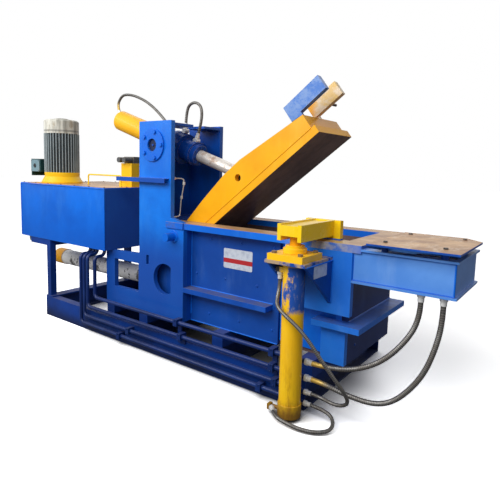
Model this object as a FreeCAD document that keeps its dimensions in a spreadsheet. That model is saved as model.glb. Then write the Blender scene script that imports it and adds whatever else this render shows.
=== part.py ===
import FreeCAD, Part
import math
import os
import Sketcher
from FreeCAD import Placement, Rotation, Vector

# Recycling baler: a base skid, an oil tank with its motor and pump, a press box with a hinged lid,
# a column that carries the lid cylinder, a long ram cylinder under the tank, a bale lifter outside
# the near wall and a lock bolt in a small frame on the right-hand end.
# +X runs along the machine to the lock bolt, +Y away from the working side, +Z up, all in mm.

os.makedirs("parts", exist_ok=True)
doc = FreeCAD.newDocument("baler")

# ---------------------------------------------------------------- driving sizes

SIZES = [
    # base skid
    ("base_left", -1610, "left end of the skid"),
    ("base_right", 1329, "right end of the skid"),
    ("base_front", -500, "outer face of the near rail"),
    ("base_back", 750, "outer face of the far rail"),
    ("base_height", 190, "height of the skid channels"),
    ("base_web", 12, "web and flange thickness of the skid channels"),
    ("base_flange", 75, "width of the skid channel flanges"),
    ("saddle_width", 100, "width of each beam that lifts the box off the skid"),
    # press box
    ("box_front", -410, "outer face of the near wall's rim"),
    ("box_back", 410, "outer face of the far wall's rim"),
    ("chamber_half", 255, "half the width of the press chamber"),
    ("wall_plate", 30, "thickness of the box wall plates"),
    ("liner_plate", 30, "thickness of the wear liners"),
    ("box_bottom", 290, "underside of the box floor"),
    ("floor_plate", 55, "thickness of the box floor"),
    ("box_top", 1068, "top of the box rim"),
    ("rim_height", 47, "height of the box rim"),
    ("press_left", -327, "left face of the rear bulkhead and the column"),
    ("bulkhead_plate", 40, "thickness of the rear bulkhead"),
    ("bay_left", 1000, "left edge of the lifter opening in the near wall"),
    ("bay_right", 1430, "right edge of the lifter opening in the near wall"),
    ("end_face", 1515, "outer face of the end wall"),
    ("end_plate", 45, "thickness of the end wall"),
    ("box_right", 1560, "right edge of the near post plate"),
    ("rim_overhang", 53, "reach of the rim past the post plate"),
    ("tongue_left", -5, "left end of the rim's strip on the near side plate"),
    ("tongue_plate", 12, "thickness of that strip"),
    ("ledge_low", 530, "underside of the outside ledge"),
    ("ledge_high", 567, "top of the outside ledge"),
    ("ledge_gap", 45, "open space in the ledge beside the lifter opening"),
    ("ledge_right", 1625, "reach of the outside ledge at the box's end"),
    ("foot_post_left", 1350, "left edge of the low post"),
    ("post_low", 628, "underside of the near post plate"),
    ("post_plate", 40, "thickness of the near post and the bracket backing plate"),
    # press side plate and column
    ("side_plate", 40, "thickness of the two column plates"),
    ("column_right", 39, "right edge of the column"),
    ("column_top", 1850, "top of the column"),
    ("shoulder_right", 180, "right edge of the near plate below the rim"),
    ("frame_left", -766, "left edge of the near plate under the tank"),
    ("window_left", -651, "left edge of the window under the tank"),
    ("window_right", -337, "right edge of the window"),
    ("window_low", 440, "sill of the window"),
    ("window_high", 685, "head of the window"),
    ("slot_x", -227, "centre of the small upright slot"),
    ("slot_z", 732, "middle height of the small slot"),
    ("slot_width", 30, "width of the small slot"),
    ("slot_length", 78, "length of the small slot"),
    ("port_x", -28, "centre of the round hand hole"),
    ("port_z", 600, "height of the round hand hole"),
    ("port_radius", 125, "radius of the hand hole"),
    ("port_flat", 45, "x of the flat side of the hand hole"),
    ("column_far", 167, "inner face of the far column plate"),
    ("roof_right", -45, "right edge of the roof over the ram"),
    ("cap_left", -180, "left edge of the column's top plate"),
    ("cap_plate", 20, "thickness of the column's top and back plates"),
    ("cap_drop", 15, "depth of the top plate below the column's top"),
    ("shelf_left", -562, "left end of the hose shelf"),
    ("shelf_right", 18, "right end of the hose shelf"),
    ("shelf_top", 1402, "top of the hose shelf"),
    ("shelf_height", 34, "height of the hose shelf"),
    ("shelf_depth", 50, "reach of the hose shelf"),
    # lid and its hinge
    ("hinge_x", 73, "x of the lid hinge"),
    ("hinge_z", 957, "height of the lid hinge"),
    ("hinge_radius", 32, "radius of the lid hinge pin"),
    ("hinge_reach", 90, "reach of the hinge pin past the near plate"),
    ("boss_radius", 46, "radius of the welded ring round the hinge pin"),
    ("boss_height", 10, "height of that ring"),
    ("lid_open", 37.9, "opening of the lid as it stands, in degrees"),
    ("lid_half", 250, "half the width of the lid"),
    ("lid_side", 25, "thickness of the lid's upright plates"),
    ("press_drop", 82, "depth of the lid's underside below the hinge"),
    ("press_plate", 57, "thickness of the lid's press plate"),
    ("press_start", 150, "start of the press plate, from the hinge"),
    ("lid_length", 1388, "reach of the press plate, from the hinge"),
    ("lid_lip", 30, "reach of the press plate past the side plates"),
    ("clevis_u", 679, "rod pin along the lid, from the hinge"),
    ("clevis_n", 68, "rod pin above the hinge, with the lid shut"),
    ("clevis_radius", 28, "radius of the rod pin"),
    ("clevis_wall", 46, "wall round the rod pin's bore"),
    ("clevis_slack", 15, "free space round the rod pin in the rod eye"),
    ("lid_end_radius", 88, "radius of the lid's rounded hinge end"),
    ("lid_rear_u", 77, "lid outline: start of the rise behind the hinge"),
    ("lid_rear_n", 99, "lid outline: height there"),
    ("lid_rise_u", 297, "lid outline: knee of the back"),
    ("lid_rise_n", 133, "lid outline: height of the knee"),
    ("lid_crest_u", 584, "lid outline: start of the crest"),
    ("lid_crest_n", 164, "lid outline: height of the crest"),
    ("lid_crest_end", 770, "lid outline: end of the crest"),
    ("lid_nose_n", 85, "lid outline: height of the nose"),
    ("rib_plate", 20, "thickness of the lid's cross ribs"),
    ("rib_first", 320, "first cross rib, from the hinge"),
    ("rib_second", 860, "second cross rib, from the hinge"),
    ("rib_third", 1180, "third cross rib, from the hinge"),
    ("rib_top", 100, "height of the cross ribs above the hinge, with the lid shut"),
    ("access_radius", 27, "radius of the pin access hole in the near side plate"),
    ("stop_thick", 45, "thickness of the two lid stops"),
    ("stop_height", 106, "height of the two lid stops"),
    ("stop_low", 112, "underside of the lid stops above the hinge, with the lid shut"),
    ("stop_reach", 197, "reach of the lid stops past the press plate"),
    ("near_stop_length", 317, "length of the near lid stop"),
    ("middle_stop_length", 262, "length of the middle lid stop"),
    # lid cylinder
    ("trunnion_x", -165, "x of the lid cylinder's trunnion"),
    ("trunnion_z", 1662, "height of the trunnion"),
    ("trunnion_radius", 50, "radius of the trunnion pins"),
    ("trunnion_recess", 16, "depth of the near trunnion's end below its flange"),
    ("flange_radius", 128, "radius of the trunnion flange"),
    ("flange_thick", 14, "thickness of the trunnion flange"),
    ("flange_bolt_circle", 105, "radius of the trunnion flange's bolt circle"),
    ("barrel_radius", 90, "outer radius of the lid cylinder"),
    ("barrel_wall", 12, "wall of the lid cylinder"),
    ("barrel_rear", 815, "reach of the lid cylinder behind the trunnion"),
    ("collar_radius", 126, "radius of the trunnion collar"),
    ("collar_half", 62, "half length of the trunnion collar"),
    ("gland_radius", 85, "radius of the gland"),
    ("gland_reach", 236, "reach of the gland ahead of the trunnion"),
    ("lid_rod_radius", 48, "radius of the lid cylinder's rod"),
    ("eye_width", 100, "width of the rod eye"),
    ("lid_stroke", 372, "stroke that the lid rod has left, to shut the lid"),
    # ram and ram cylinder
    ("ram_axis_z", 457, "height of the ram cylinder's axis"),
    ("ram_front", 150, "front face of the ram as it stands"),
    ("ram_depth", 210, "depth of the ram"),
    ("ram_top", 866, "top of the ram"),
    ("ram_plate", 40, "plate thickness in the ram"),
    ("ram_gap", 3, "running gap round the ram"),
    ("ram_barrel_radius", 80, "outer radius of the ram cylinder"),
    ("ram_barrel_left", -2164, "left end of the ram cylinder"),
    ("ram_cap_radius", 86, "radius of the ram cylinder's rear cap"),
    ("ram_cap_length", 150, "length of the rear cap"),
    ("ram_flange_radius", 140, "radius of the ram cylinder's head flange"),
    ("ram_flange_thick", 45, "thickness of the head flange"),
    ("ram_rod_radius", 50, "radius of the ram rod"),
    # bale lifter
    ("lifter_x", 1300, "x of the lifter cylinder"),
    ("lifter_y", -632, "y of the lifter cylinder"),
    ("lifter_radius", 66, "outer radius of the lifter cylinder"),
    ("lifter_wall", 10, "wall of the lifter cylinder"),
    ("lifter_low", 22, "underside of the lifter cylinder"),
    ("lifter_cap", 80, "height of the lifter cylinder's end cap"),
    ("bracket_top", 980, "top of the lifter bracket"),
    ("bracket_plate", 20, "thickness of the bracket plates"),
    ("bracket_half", 134, "half the width of the bracket"),
    ("bracket_reach", 340, "reach of the bracket from the wall"),
    ("gusset_height", 270, "height of the bracket gussets"),
    ("mount_half", 117, "half the width of the cylinder's square flange"),
    ("mount_thick", 38, "thickness of the square flange"),
    ("collar_low_height", 30, "height of the wide gland ring"),
    ("collar_high_height", 16, "height of the upper gland ring"),
    ("lifter_rod_radius", 33, "radius of the lifter rod"),
    ("yoke_low", 1092, "underside of the yoke's side bars"),
    ("yoke_high", 1190, "top of the yoke's side bars"),
    ("yoke_half", 80, "half the width of the yoke"),
    ("yoke_bar", 25, "thickness of the yoke's side bars"),
    ("yoke_block_low", 1120, "underside of the yoke's head block"),
    ("yoke_block_high", 1182, "top of the yoke's head block"),
    ("yoke_nose", 74, "reach of the yoke ahead of the rod"),
    ("beam_right", 1424, "right end of the lifter's cross beam"),
    ("beam_half_gap", 8, "space under the lifter's cross beam"),
    ("carrier_plate", 40, "thickness of the lifter's upright plate"),
    ("carrier_gap", 5, "running gap beside the lifter plate"),
    ("foot_plate", 25, "thickness of the lifter's foot"),
    ("foot_reach", 330, "reach of the lifter's foot into the box"),
    ("post_left", 1092, "left edge of the plate that carries the lifter bracket"),
    ("collar_low_radius", 70, "radius of the wide gland ring"),
    ("collar_high_radius", 57, "radius of the upper gland ring"),
    # lock bolt and its frame
    ("table_right", 2130, "right end of the lock frame"),
    ("table_back", 124, "far face of the lock frame"),
    ("table_low", 842, "underside of the lock frame"),
    ("table_high", 1048, "top of the lock frame"),
    ("channel_flange", 65, "flange width of the lock frame's channels"),
    ("channel_plate", 13, "plate thickness of the lock frame"),
    ("frame_lip", 18, "reach of the lock frame's flanges past its outer faces"),
    ("cover_left", 1672, "left edge of the cover plate"),
    ("cover_right", 2167, "right edge of the cover plate"),
    ("cover_front", -490, "near edge of the cover plate"),
    ("cover_back", 190, "far edge of the cover plate"),
    ("cover_low", 1088, "underside of the cover plate"),
    ("cover_plate", 12, "thickness of the cover plate"),
    ("cover_corner", 110, "cut corner of the cover plate"),
    ("spacer_radius", 20, "radius of the spacers"),
    ("lock_y", -130, "y of the lock bolt"),
    ("bolt_half", 62, "half the width of the lock bolt"),
    ("bolt_height", 66, "height of the lock bolt"),
    ("bolt_gap", 3, "running gap round the lock bolt"),
    ("bolt_tip", 1476, "tip of the lock bolt, drawn back"),
    ("bolt_length", 180, "length of the lock bolt"),
    ("lock_rod_radius", 22, "radius of the lock rod"),
    ("lock_barrel_radius", 50, "radius of the lock cylinder"),
    ("lock_barrel_left", 1850, "left end of the lock cylinder"),
    # oil tank and power pack
    ("tank_left", -2045, "left end of the tank"),
    ("tank_right", -673, "right end of the tank"),
    ("tank_front", -498, "near face of the tank"),
    ("tank_back", 502, "far face of the tank"),
    ("tank_bottom", 757, "underside of the tank"),
    ("tank_top", 1300, "top of the tank cover"),
    ("tank_wall", 6, "sheet thickness of the tank"),
    ("tank_cover_plate", 10, "thickness of the tank cover"),
    ("cradle_left", -1889, "left end of the cradle rails"),
    ("cradle_height", 60, "height of the cradle rails"),
    ("post_size", 60, "side of the square tank posts"),
    ("post_inset", 10, "distance of the left posts from the skid's end"),
    ("pad_size", 108, "side of the posts' foot pads"),
    ("pad_plate", 12, "thickness of the foot pads"),
    ("motor_x", -1713, "x of the motor"),
    ("motor_y", -240, "y of the motor"),
    ("bell_radius", 198, "radius of the bell housing's foot"),
    ("bell_neck", 152, "radius of the bell housing's neck"),
    ("bell_height", 108, "height of the bell housing"),
    ("bell_wall", 14, "wall of the bell housing"),
    ("motor_core", 141, "radius of the motor body between the fins"),
    ("motor_radius", 168, "radius over the motor's fins"),
    ("motor_height", 384, "height of the motor body"),
    ("fin_count", 36, "number of cooling fins"),
    ("fin_thick", 6, "thickness of a cooling fin"),
    ("cowl_radius", 166, "radius of the fan cowl"),
    ("cowl_height", 150, "height of the fan cowl"),
    ("cowl_wall", 3, "wall of the fan cowl"),
    ("terminal_reach", 134, "reach of the terminal box past the motor's fins"),
    ("terminal_front", 160, "reach of the terminal box ahead of the motor's axis"),
    ("terminal_rise", 130, "height of the terminal box above the bell housing"),
    ("shaft_radius", 24, "radius of the motor shaft"),
    ("shaft_gap", 0.05, "radial clearance of shafts and pins in their bores"),
    ("pump_radius", 70, "radius of the pump"),
    ("pump_length", 190, "length of the pump below the cover"),
    ("breather_neck", 235, "height of the breather's pipe above the tank"),
    ("breather_height", 365, "height of the breather above the tank"),
    ("valve_left", -880, "left end of the valve manifold"),
    ("valve_length", 175, "length of the valve manifold"),
    ("valve_front", -180, "near face of the valve manifold"),
    ("valve_depth", 180, "depth of the valve manifold"),
    ("valve_height", 215, "height of the valve manifold"),
    ("rail_left", -1270, "left post of the tank-top rail"),
    ("rail_right", -780, "right post of the tank-top rail"),
    ("rail_y", -240, "y of the tank-top rail"),
    ("rail_height", 100, "height of the tank-top rail"),
    ("rail_radius", 7, "radius of the tank-top rail"),
    # rigid pipes, hoses and small hardware
    ("pipe_radius", 15, "outer radius of the rigid pipes"),
    ("pipe_y", -540, "y of the rigid pipes"),
    ("pipe_bend", 40, "bend radius of the rigid pipes"),
    ("pipe_end", 1350, "right end of the rigid pipes"),
    ("pipe_head", 700, "height of the pipes' top bends"),
    ("clamp_half", 18, "half the length of a pipe clamp along the pipe"),
    ("clamp_wall", 11, "wall of a pipe clamp above and below the pipe"),
    ("strap_foot", 176, "height of the foot of the upper clamps' straps"),
    ("top_port_reach", 104, "reach of the lifter's top port from its axis"),
    ("top_port_drop", 60, "drop of the top port's underside below the bracket"),
    ("port_side", 48, "width of the lifter's top port"),
    ("low_port_reach", 140, "reach of the lifter's low port from its axis"),
    ("low_port_side", 36, "side of the low port's elbow block"),
    ("lid_hose", 24, "diameter of the lid cylinder's hoses"),
    ("lifter_hose", 22, "diameter of the lifter cylinder's hoses"),
    ("lock_hose", 30, "diameter of the lock cylinder's hoses"),
    ("bolt_across", 30, "width of the bolt heads over the flats"),
    ("bolt_head", 13, "height of the bolt heads"),
    ("bolt_shank", 10, "radius of the bolts"),
]


class Size:
    """A length or an angle that keeps both its value and the sheet formula it comes from."""

    def __init__(self, text, value):
        self.text = text
        self.value = value

    def __add__(self, other):
        return join(self, "+", other, lambda a, b: a + b)

    def __radd__(self, other):
        return join(other, "+", self, lambda a, b: a + b)

    def __sub__(self, other):
        return join(self, "-", other, lambda a, b: a - b)

    def __rsub__(self, other):
        return join(other, "-", self, lambda a, b: a - b)

    def __mul__(self, other):
        return join(self, "*", other, lambda a, b: a * b)

    def __rmul__(self, other):
        return join(other, "*", self, lambda a, b: a * b)

    def __truediv__(self, other):
        return join(self, "/", other, lambda a, b: a / b)

    def __neg__(self):
        return join(0, "-", self, lambda a, b: a - b)


def as_size(value):
    return value if isinstance(value, Size) else Size("%.10g" % value, float(value))


def join(left, sign, right, rule):
    left, right = as_size(left), as_size(right)
    return Size("(%s %s %s)" % (left.text, sign, right.text), rule(left.value, right.value))


def cosine(angle):
    return Size("cos(%s)" % angle.text, math.cos(math.radians(angle.value)))


def sine(angle):
    return Size("sin(%s)" % angle.text, math.sin(math.radians(angle.value)))


def arc_tangent(ratio):
    return Size("(atan(%s) / 1 deg)" % ratio.text, math.degrees(math.atan(ratio.value)))


def root(square):
    return Size("sqrt(%s)" % square.text, math.sqrt(square.value))


sheet = doc.addObject("Spreadsheet::Sheet", "sizes")
sizes = {}
for row, (alias, number, note) in enumerate(SIZES, 1):
    sheet.set("A%d" % row, note)
    sheet.set("B%d" % row, "%g" % number)
    sheet.setAlias("B%d" % row, alias)
    sizes[alias] = Size("sizes." + alias, float(number))
doc.recompute()


class Named:
    """Gives each size as an attribute."""

    def __getattr__(self, alias):
        return sizes[alias]


s = Named()

# ---------------------------------------------------------------- building blocks

AXIS_TURN = {
    "x": Rotation(Vector(0, 1, 0), 90),
    "y": Rotation(Vector(1, 0, 0), -90),
    "z": Rotation(),
}
nodes = []


def bind(item, path, size):
    item.setExpression(path, as_size(size).text)


def move(item, x=0, y=0, z=0):
    for axis, size in zip("xyz", (x, y, z)):
        bind(item, "Placement.Base." + axis, size)
    return item


def tilt(item, axis, angle):
    """Turns an item about its own origin by an angle from the sheet."""
    item.Placement = Placement(item.Placement.Base, Rotation(axis, 1))
    bind(item, "Placement.Rotation.Angle", angle)
    return item


def block(name, x_span, y_span, z_span):
    item = doc.addObject("Part::Box", name)
    spans = (x_span, y_span, z_span)
    for path, (low, high) in zip(("Length", "Width", "Height"), spans):
        bind(item, path, as_size(high) - low)
    return move(item, *[low for low, high in spans])


def drum(name, radius, axis, span, first, second):
    """A cylinder along an axis; first and second place it on the two other axes."""
    item = doc.addObject("Part::Cylinder", name)
    item.Placement = Placement(Vector(), AXIS_TURN[axis])
    bind(item, "Radius", radius)
    bind(item, "Height", as_size(span[1]) - span[0])
    places = [first, second]
    places.insert("xyz".index(axis), span[0])
    return move(item, *places)


def fuse(name, items):
    item = doc.addObject("Part::MultiFuse", name)
    item.Shapes = items
    return item


def cut(name, base, tools):
    item = doc.addObject("Part::Cut", name)
    item.Base = base
    item.Tool = tools[0] if len(tools) == 1 else fuse(name + "_tools", tools)
    return item


def group(name, items):
    item = doc.addObject("Part::Compound", name)
    item.Links = items
    return item


def node(item, label):
    item.Label = label
    nodes.append(item)
    return item


def start_body(name):
    return doc.addObject("PartDesign::Body", name)


def new_sketch(body, role):
    item = body.newObject("Sketcher::SketchObject", body.Name + "_sketch")
    plane = [feature for feature in body.Origin.OriginFeatures if feature.Role == role][0]
    item.AttachmentSupport = [(plane, "")]
    item.MapMode = "FlatFace"
    return item


def pin_point(sketch, geometry, point, corner):
    for kind, size in zip(("DistanceX", "DistanceY"), corner):
        size = as_size(size)
        index = sketch.addConstraint(
            Sketcher.Constraint(kind, -1, 1, geometry, point, size.value))
        sketch.setExpression("Constraints[%d]" % index, size.text)


def draw_outline(sketch, corners):
    first = sketch.GeometryCount
    count = len(corners)
    points = [Vector(as_size(a).value, as_size(b).value, 0) for a, b in corners]
    for index, point in enumerate(points):
        sketch.addGeometry(Part.LineSegment(point, points[(index + 1) % count]))
    for index, corner in enumerate(corners):
        sketch.addConstraint(
            Sketcher.Constraint("Coincident", first + index, 2, first + (index + 1) % count, 1))
        pin_point(sketch, first + index, 1, corner)


def draw_circle(sketch, centre, radius):
    radius = as_size(radius)
    middle = Vector(as_size(centre[0]).value, as_size(centre[1]).value, 0)
    geometry = sketch.addGeometry(Part.Circle(middle, Vector(0, 0, 1), radius.value))
    pin_point(sketch, geometry, 3, centre)
    index = sketch.addConstraint(Sketcher.Constraint("Radius", geometry, radius.value))
    sketch.setExpression("Constraints[%d]" % index, radius.text)


def pad(body, sketch, length, name="pad"):
    item = body.newObject("PartDesign::Pad", body.Name + "_" + name)
    item.Profile = sketch
    item.Midplane = False
    item.Reversed = True
    bind(item, "Length", length)
    return item


def pocket(body, sketch, length, name="pocket"):
    item = body.newObject("PartDesign::Pocket", body.Name + "_" + name)
    item.Profile = sketch
    item.Reversed = False
    bind(item, "Length", length)
    return item


def plate(name, corners, thickness, circles=(), cuts=(), bosses=()):
    """An upright plate in the XZ plane that grows towards +Y from its own origin.

    circles are round holes, cuts are outlines cut through, bosses are round lands added."""
    body = start_body(name)
    sketch = new_sketch(body, "XZ_Plane")
    draw_outline(sketch, corners)
    pad(body, sketch, thickness)
    for number, (centre, radius) in enumerate(bosses):
        land = new_sketch(body, "XZ_Plane")
        draw_circle(land, centre, radius)
        pad(body, land, thickness, "boss%d" % number)
    if circles or cuts:
        holes = new_sketch(body, "XZ_Plane")
        for centre, radius in circles:
            draw_circle(holes, centre, radius)
        for corners_cut in cuts:
            draw_outline(holes, corners_cut)
        pocket(body, holes, as_size(thickness))
    return body


def turned(name, corners, axis="V_Axis"):
    """A turned piece: an outline in the XZ plane revolved about the upright or the level axis."""
    body = start_body(name)
    sketch = new_sketch(body, "XZ_Plane")
    draw_outline(sketch, corners)
    item = body.newObject("PartDesign::Revolution", name + "_turn")
    item.Profile = sketch
    item.ReferenceAxis = (sketch, [axis])
    item.Angle = 360
    return body


def rectangle(x_span, z_span):
    return [(x_span[0], z_span[0]), (x_span[1], z_span[0]),
            (x_span[1], z_span[1]), (x_span[0], z_span[1])]


def tube(points, diameter, bend=None):
    """Straight runs joined by tangent arcs, as one solid. Without a bend radius each arc takes
    nine twentieths of the shorter run beside its corner."""
    points = [Vector(*point) for point in points]
    edges = []
    start = points[0]
    radii = []
    for before, corner, after in zip(points, points[1:], points[2:]):
        come = (corner - before).normalize()
        go = (after - corner).normalize()
        half = come.getAngle(go) / 2
        shorter = min((corner - before).Length, (after - corner).Length)
        reach = 0.45 * shorter if bend is None else bend * math.tan(half)
        radii.append(reach / math.tan(half))
        enter = corner - come * reach
        leave = corner + go * reach
        middle_way = (go - come).normalize()
        centre = corner + middle_way * (radii[-1] / math.cos(half))
        middle = centre - middle_way * radii[-1]
        edges.append(Part.LineSegment(start, enter).toShape())
        edges.append(Part.Arc(enter, middle, leave).toShape())
        start = leave
    edges.append(Part.LineSegment(start, points[-1]).toShape())
    path = Part.Wire(edges)
    ring = Part.Wire([Part.Circle(points[0], points[1] - points[0], diameter / 2).toShape()])
    return path.makePipeShell([ring], True, False), path.Length, min(radii or [0])


def hexagon_bolt(name, grip):
    """A hexagon-head bolt that stands on its own origin: head outside, shank inside."""
    body = start_body(name)
    sketch = new_sketch(body, "XY_Plane")
    corner = s.bolt_across / math.sqrt(3)
    corners = [(corner * round(math.cos(math.radians(60 * turn)), 6),
                corner * round(math.sin(math.radians(60 * turn)), 6)) for turn in range(6)]
    draw_outline(sketch, corners)
    head = pad(body, sketch, s.bolt_head, "head")
    head.Reversed = False
    shank = new_sketch(body, "XY_Plane")
    draw_circle(shank, (0, 0), s.bolt_shank)
    pad(body, shank, grip, "shank")
    return body


# ---------------------------------------------------------------- derived lines

wall_out = s.chamber_half + s.liner_plate + s.wall_plate
wall_in = s.chamber_half + s.liner_plate
plate_back = s.box_front + s.side_plate
rim_low = s.box_top - s.rim_height
floor_top = s.box_bottom + s.floor_plate
bulkhead_right = s.press_left + s.bulkhead_plate
end_left = s.end_face - s.end_plate
rim_right = s.box_right + s.rim_overhang
barrel_y = (plate_back + s.column_far) / 2
clevis_x = s.hinge_x + s.clevis_u * cosine(s.lid_open) - s.clevis_n * sine(s.lid_open)
clevis_z = s.hinge_z + s.clevis_u * sine(s.lid_open) + s.clevis_n * cosine(s.lid_open)
rod_drop = s.trunnion_z - clevis_z
rod_run = clevis_x - s.trunnion_x
barrel_tilt = arc_tangent(rod_drop / rod_run)
barrel_span = root(rod_drop * rod_drop + rod_run * rod_run)
eye_bore = s.clevis_radius + s.clevis_slack
bolt_z = s.hinge_z - s.press_drop + s.press_plate + s.bolt_gap + s.bolt_height / 2


# ---------------------------------------------------------------- base skid

def channel_along_x(name, web, inner, x_span):
    """A channel rail with its web at one side and its flanges towards the inner side."""
    low, high = (web, inner) if inner.value > web.value else (inner, web)
    outer = block(name + "_outer", x_span, (low, high), (0, s.base_height))
    shift = s.base_web if inner.value > web.value else 0
    hollow = block(name + "_hollow", x_span,
                   (low + shift, high + shift - s.base_web),
                   (s.base_web, s.base_height - s.base_web))
    return cut(name, outer, [hollow])


skid_span = (s.base_left, s.base_right)
near_rail = channel_along_x("near_rail", s.base_front, s.base_front + s.base_flange, skid_span)
far_rail = channel_along_x("far_rail", s.base_back, s.base_back - s.base_flange, skid_span)
node(near_rail, "skid_near_rail")
node(far_rail, "skid_far_rail")

cross_places = [s.base_left + s.base_flange / 2, (s.frame_left + s.window_left) / 2,
                s.press_left + s.saddle_width / 2, (s.hinge_x + s.bay_left) / 2,
                s.base_right - s.base_flange / 2]
for number, middle in enumerate(cross_places, 1):
    span = (middle - s.base_flange / 2, middle + s.base_flange / 2)
    beam = block("skid_beam_%d" % number, span,
                 (s.base_front + s.base_flange, s.base_back - s.base_flange), (0, s.base_height))
    groove = block("skid_groove_%d" % number, (span[0] + s.base_web, span[1]),
                   (s.base_front + s.base_flange, s.base_back - s.base_flange),
                   (s.base_web, s.base_height - s.base_web))
    node(cut("skid_channel_%d" % number, beam, [groove]), "skid_cross_%d" % number)

saddle_places = cross_places[1:4] + [s.base_right - s.saddle_width / 2]
saddles = [block("saddle_%d" % number, (middle - s.saddle_width / 2, middle + s.saddle_width / 2),
                 (s.box_front, s.box_back), (s.base_height, s.box_bottom))
           for number, middle in enumerate(saddle_places, 1)]
node(group("saddles", saddles), "box_saddles")

# ---------------------------------------------------------------- side plates and column

lower_outline = [
    (s.frame_left, s.box_bottom), (s.shoulder_right, s.box_bottom),
    (s.shoulder_right, rim_low), (s.press_left, rim_low),
    (s.press_left, s.tank_bottom), (s.frame_left, s.tank_bottom),
]
window = rectangle((s.window_left, s.window_right), (s.window_low, s.window_high))
hinge_bore = ((s.hinge_x, s.hinge_z), s.hinge_radius)

near_outline = [
    (s.frame_left, s.box_bottom), (s.shoulder_right, s.box_bottom),
    (s.shoulder_right, s.box_top), (s.column_right, s.box_top + s.hinge_radius),
    (s.column_right, s.column_top), (s.press_left, s.column_top),
    (s.press_left, s.tank_bottom + s.base_web), (s.tank_right, s.tank_bottom),
    (s.frame_left, s.tank_bottom),
]
slot = rectangle((s.slot_x - s.slot_width / 2, s.slot_x + s.slot_width / 2),
                 (s.slot_z - s.slot_length / 2, s.slot_z + s.slot_length / 2))
trunnion_bore = ((s.trunnion_x, s.trunnion_z), s.trunnion_radius + s.shaft_gap)
near_sheet = plate("near_sheet", near_outline, s.side_plate,
                   circles=[hinge_bore, trunnion_bore], cuts=[window, slot])
move(near_sheet, y=s.box_front)
port_round = drum("port_round", s.port_radius, "y", (s.box_front, plate_back), s.port_x, s.port_z)
port_side = block("port_side", (s.port_x - s.port_radius, s.port_flat),
                  (s.box_front, plate_back),
                  (s.port_z - s.port_radius, s.port_z + s.port_radius))
hand_hole = doc.addObject("Part::MultiCommon", "hand_hole")
hand_hole.Shapes = [port_round, port_side]
node(cut("near_plate", near_sheet, [hand_hole]), "press_near_plate")

far_sheet = plate("far_sheet", lower_outline, s.side_plate, circles=[hinge_bore], cuts=[window])
node(move(far_sheet, y=s.box_back - s.side_plate), "press_far_plate")

edge_bars = [block("edge_bar_near", (s.shoulder_right - s.side_plate, s.shoulder_right),
                   (plate_back, -wall_out), (s.box_bottom, rim_low)),
             block("edge_bar_far", (s.shoulder_right - s.side_plate, s.shoulder_right),
                   (wall_out, s.box_back - s.side_plate), (s.box_bottom, rim_low))]
node(group("edge_bars", edge_bars), "press_edge_bars")

column_outline = [
    (s.press_left, s.box_top), (s.roof_right, s.box_top),
    (s.roof_right, s.box_top + s.hinge_radius), (s.column_right, s.box_top + 2 * s.hinge_radius),
    (s.column_right, s.column_top), (s.press_left, s.column_top),
]
column_far = plate("far_column", column_outline, s.side_plate, circles=[trunnion_bore])
node(move(column_far, y=s.column_far), "column_far_plate")

cap_high = s.column_top - s.cap_drop
hose_slot = s.gland_radius - s.cap_plate
cap = block("cap_sheet", (s.cap_left, s.column_right), (plate_back, s.column_far),
            (cap_high - s.cap_plate, cap_high))
cap_notch = block("cap_notch", (s.cap_left + s.cap_plate, s.column_right),
                  (barrel_y - hose_slot, barrel_y + hose_slot),
                  (cap_high - s.cap_plate, cap_high))
node(cut("cap", cap, [cap_notch]), "column_cap")
back_top = s.trunnion_z - s.gland_radius
node(block("back_sheet", (s.press_left, s.press_left + s.cap_plate),
           (plate_back, s.column_far), (s.box_top, back_top)), "column_back")
node(block("roof", (s.press_left, s.roof_right),
           (plate_back, s.box_back), (rim_low, s.box_top)), "ram_roof")

shelf = block("shelf_outer", (s.shelf_left, s.shelf_right),
              (s.box_front - s.shelf_depth, s.box_front),
              (s.shelf_top - s.shelf_height, s.shelf_top))
shelf_hollow = block("shelf_hollow", (s.shelf_left, s.shelf_right),
                     (s.box_front - s.shelf_depth + s.channel_plate / 2, s.box_front),
                     (s.shelf_top - s.shelf_height, s.shelf_top - s.channel_plate / 2))
node(cut("shelf", shelf, [shelf_hollow]), "hose_shelf")

# ---------------------------------------------------------------- trunnion bearings and hinge pin

near_flange = drum("near_flange_disc", s.flange_radius, "y",
                   (s.box_front - s.flange_thick, s.box_front), s.trunnion_x, s.trunnion_z)
FLANGE_BOLTS = 5
flange_places = [(s.trunnion_x + s.flange_bolt_circle * round(math.cos(2 * math.pi * k / FLANGE_BOLTS), 6),
                  s.trunnion_z + s.flange_bolt_circle * round(math.sin(2 * math.pi * k / FLANGE_BOLTS), 6))
                 for k in range(FLANGE_BOLTS)]
near_flange_bore = drum("near_flange_bore", s.trunnion_radius + s.shaft_gap, "y",
                        (s.box_front - s.flange_thick, s.box_front), s.trunnion_x, s.trunnion_z)
near_drillings = [drum("near_drilling_%d" % number, s.bolt_shank, "y",
                       (s.box_front - s.flange_thick, s.box_front), x, z)
                  for number, (x, z) in enumerate(flange_places, 1)]
node(cut("near_flange", near_flange, [near_flange_bore] + near_drillings), "trunnion_flange_near")
far_face = s.column_far + s.side_plate
far_flange = drum("far_flange_disc", s.flange_radius, "y", (far_face, far_face + s.flange_thick),
                  s.trunnion_x, s.trunnion_z)
far_flange_bore = drum("far_flange_bore", s.trunnion_radius + s.shaft_gap, "y",
                       (far_face, far_face + s.flange_thick), s.trunnion_x, s.trunnion_z)
node(cut("far_flange", far_flange, [far_flange_bore]), "trunnion_flange_far")

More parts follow.
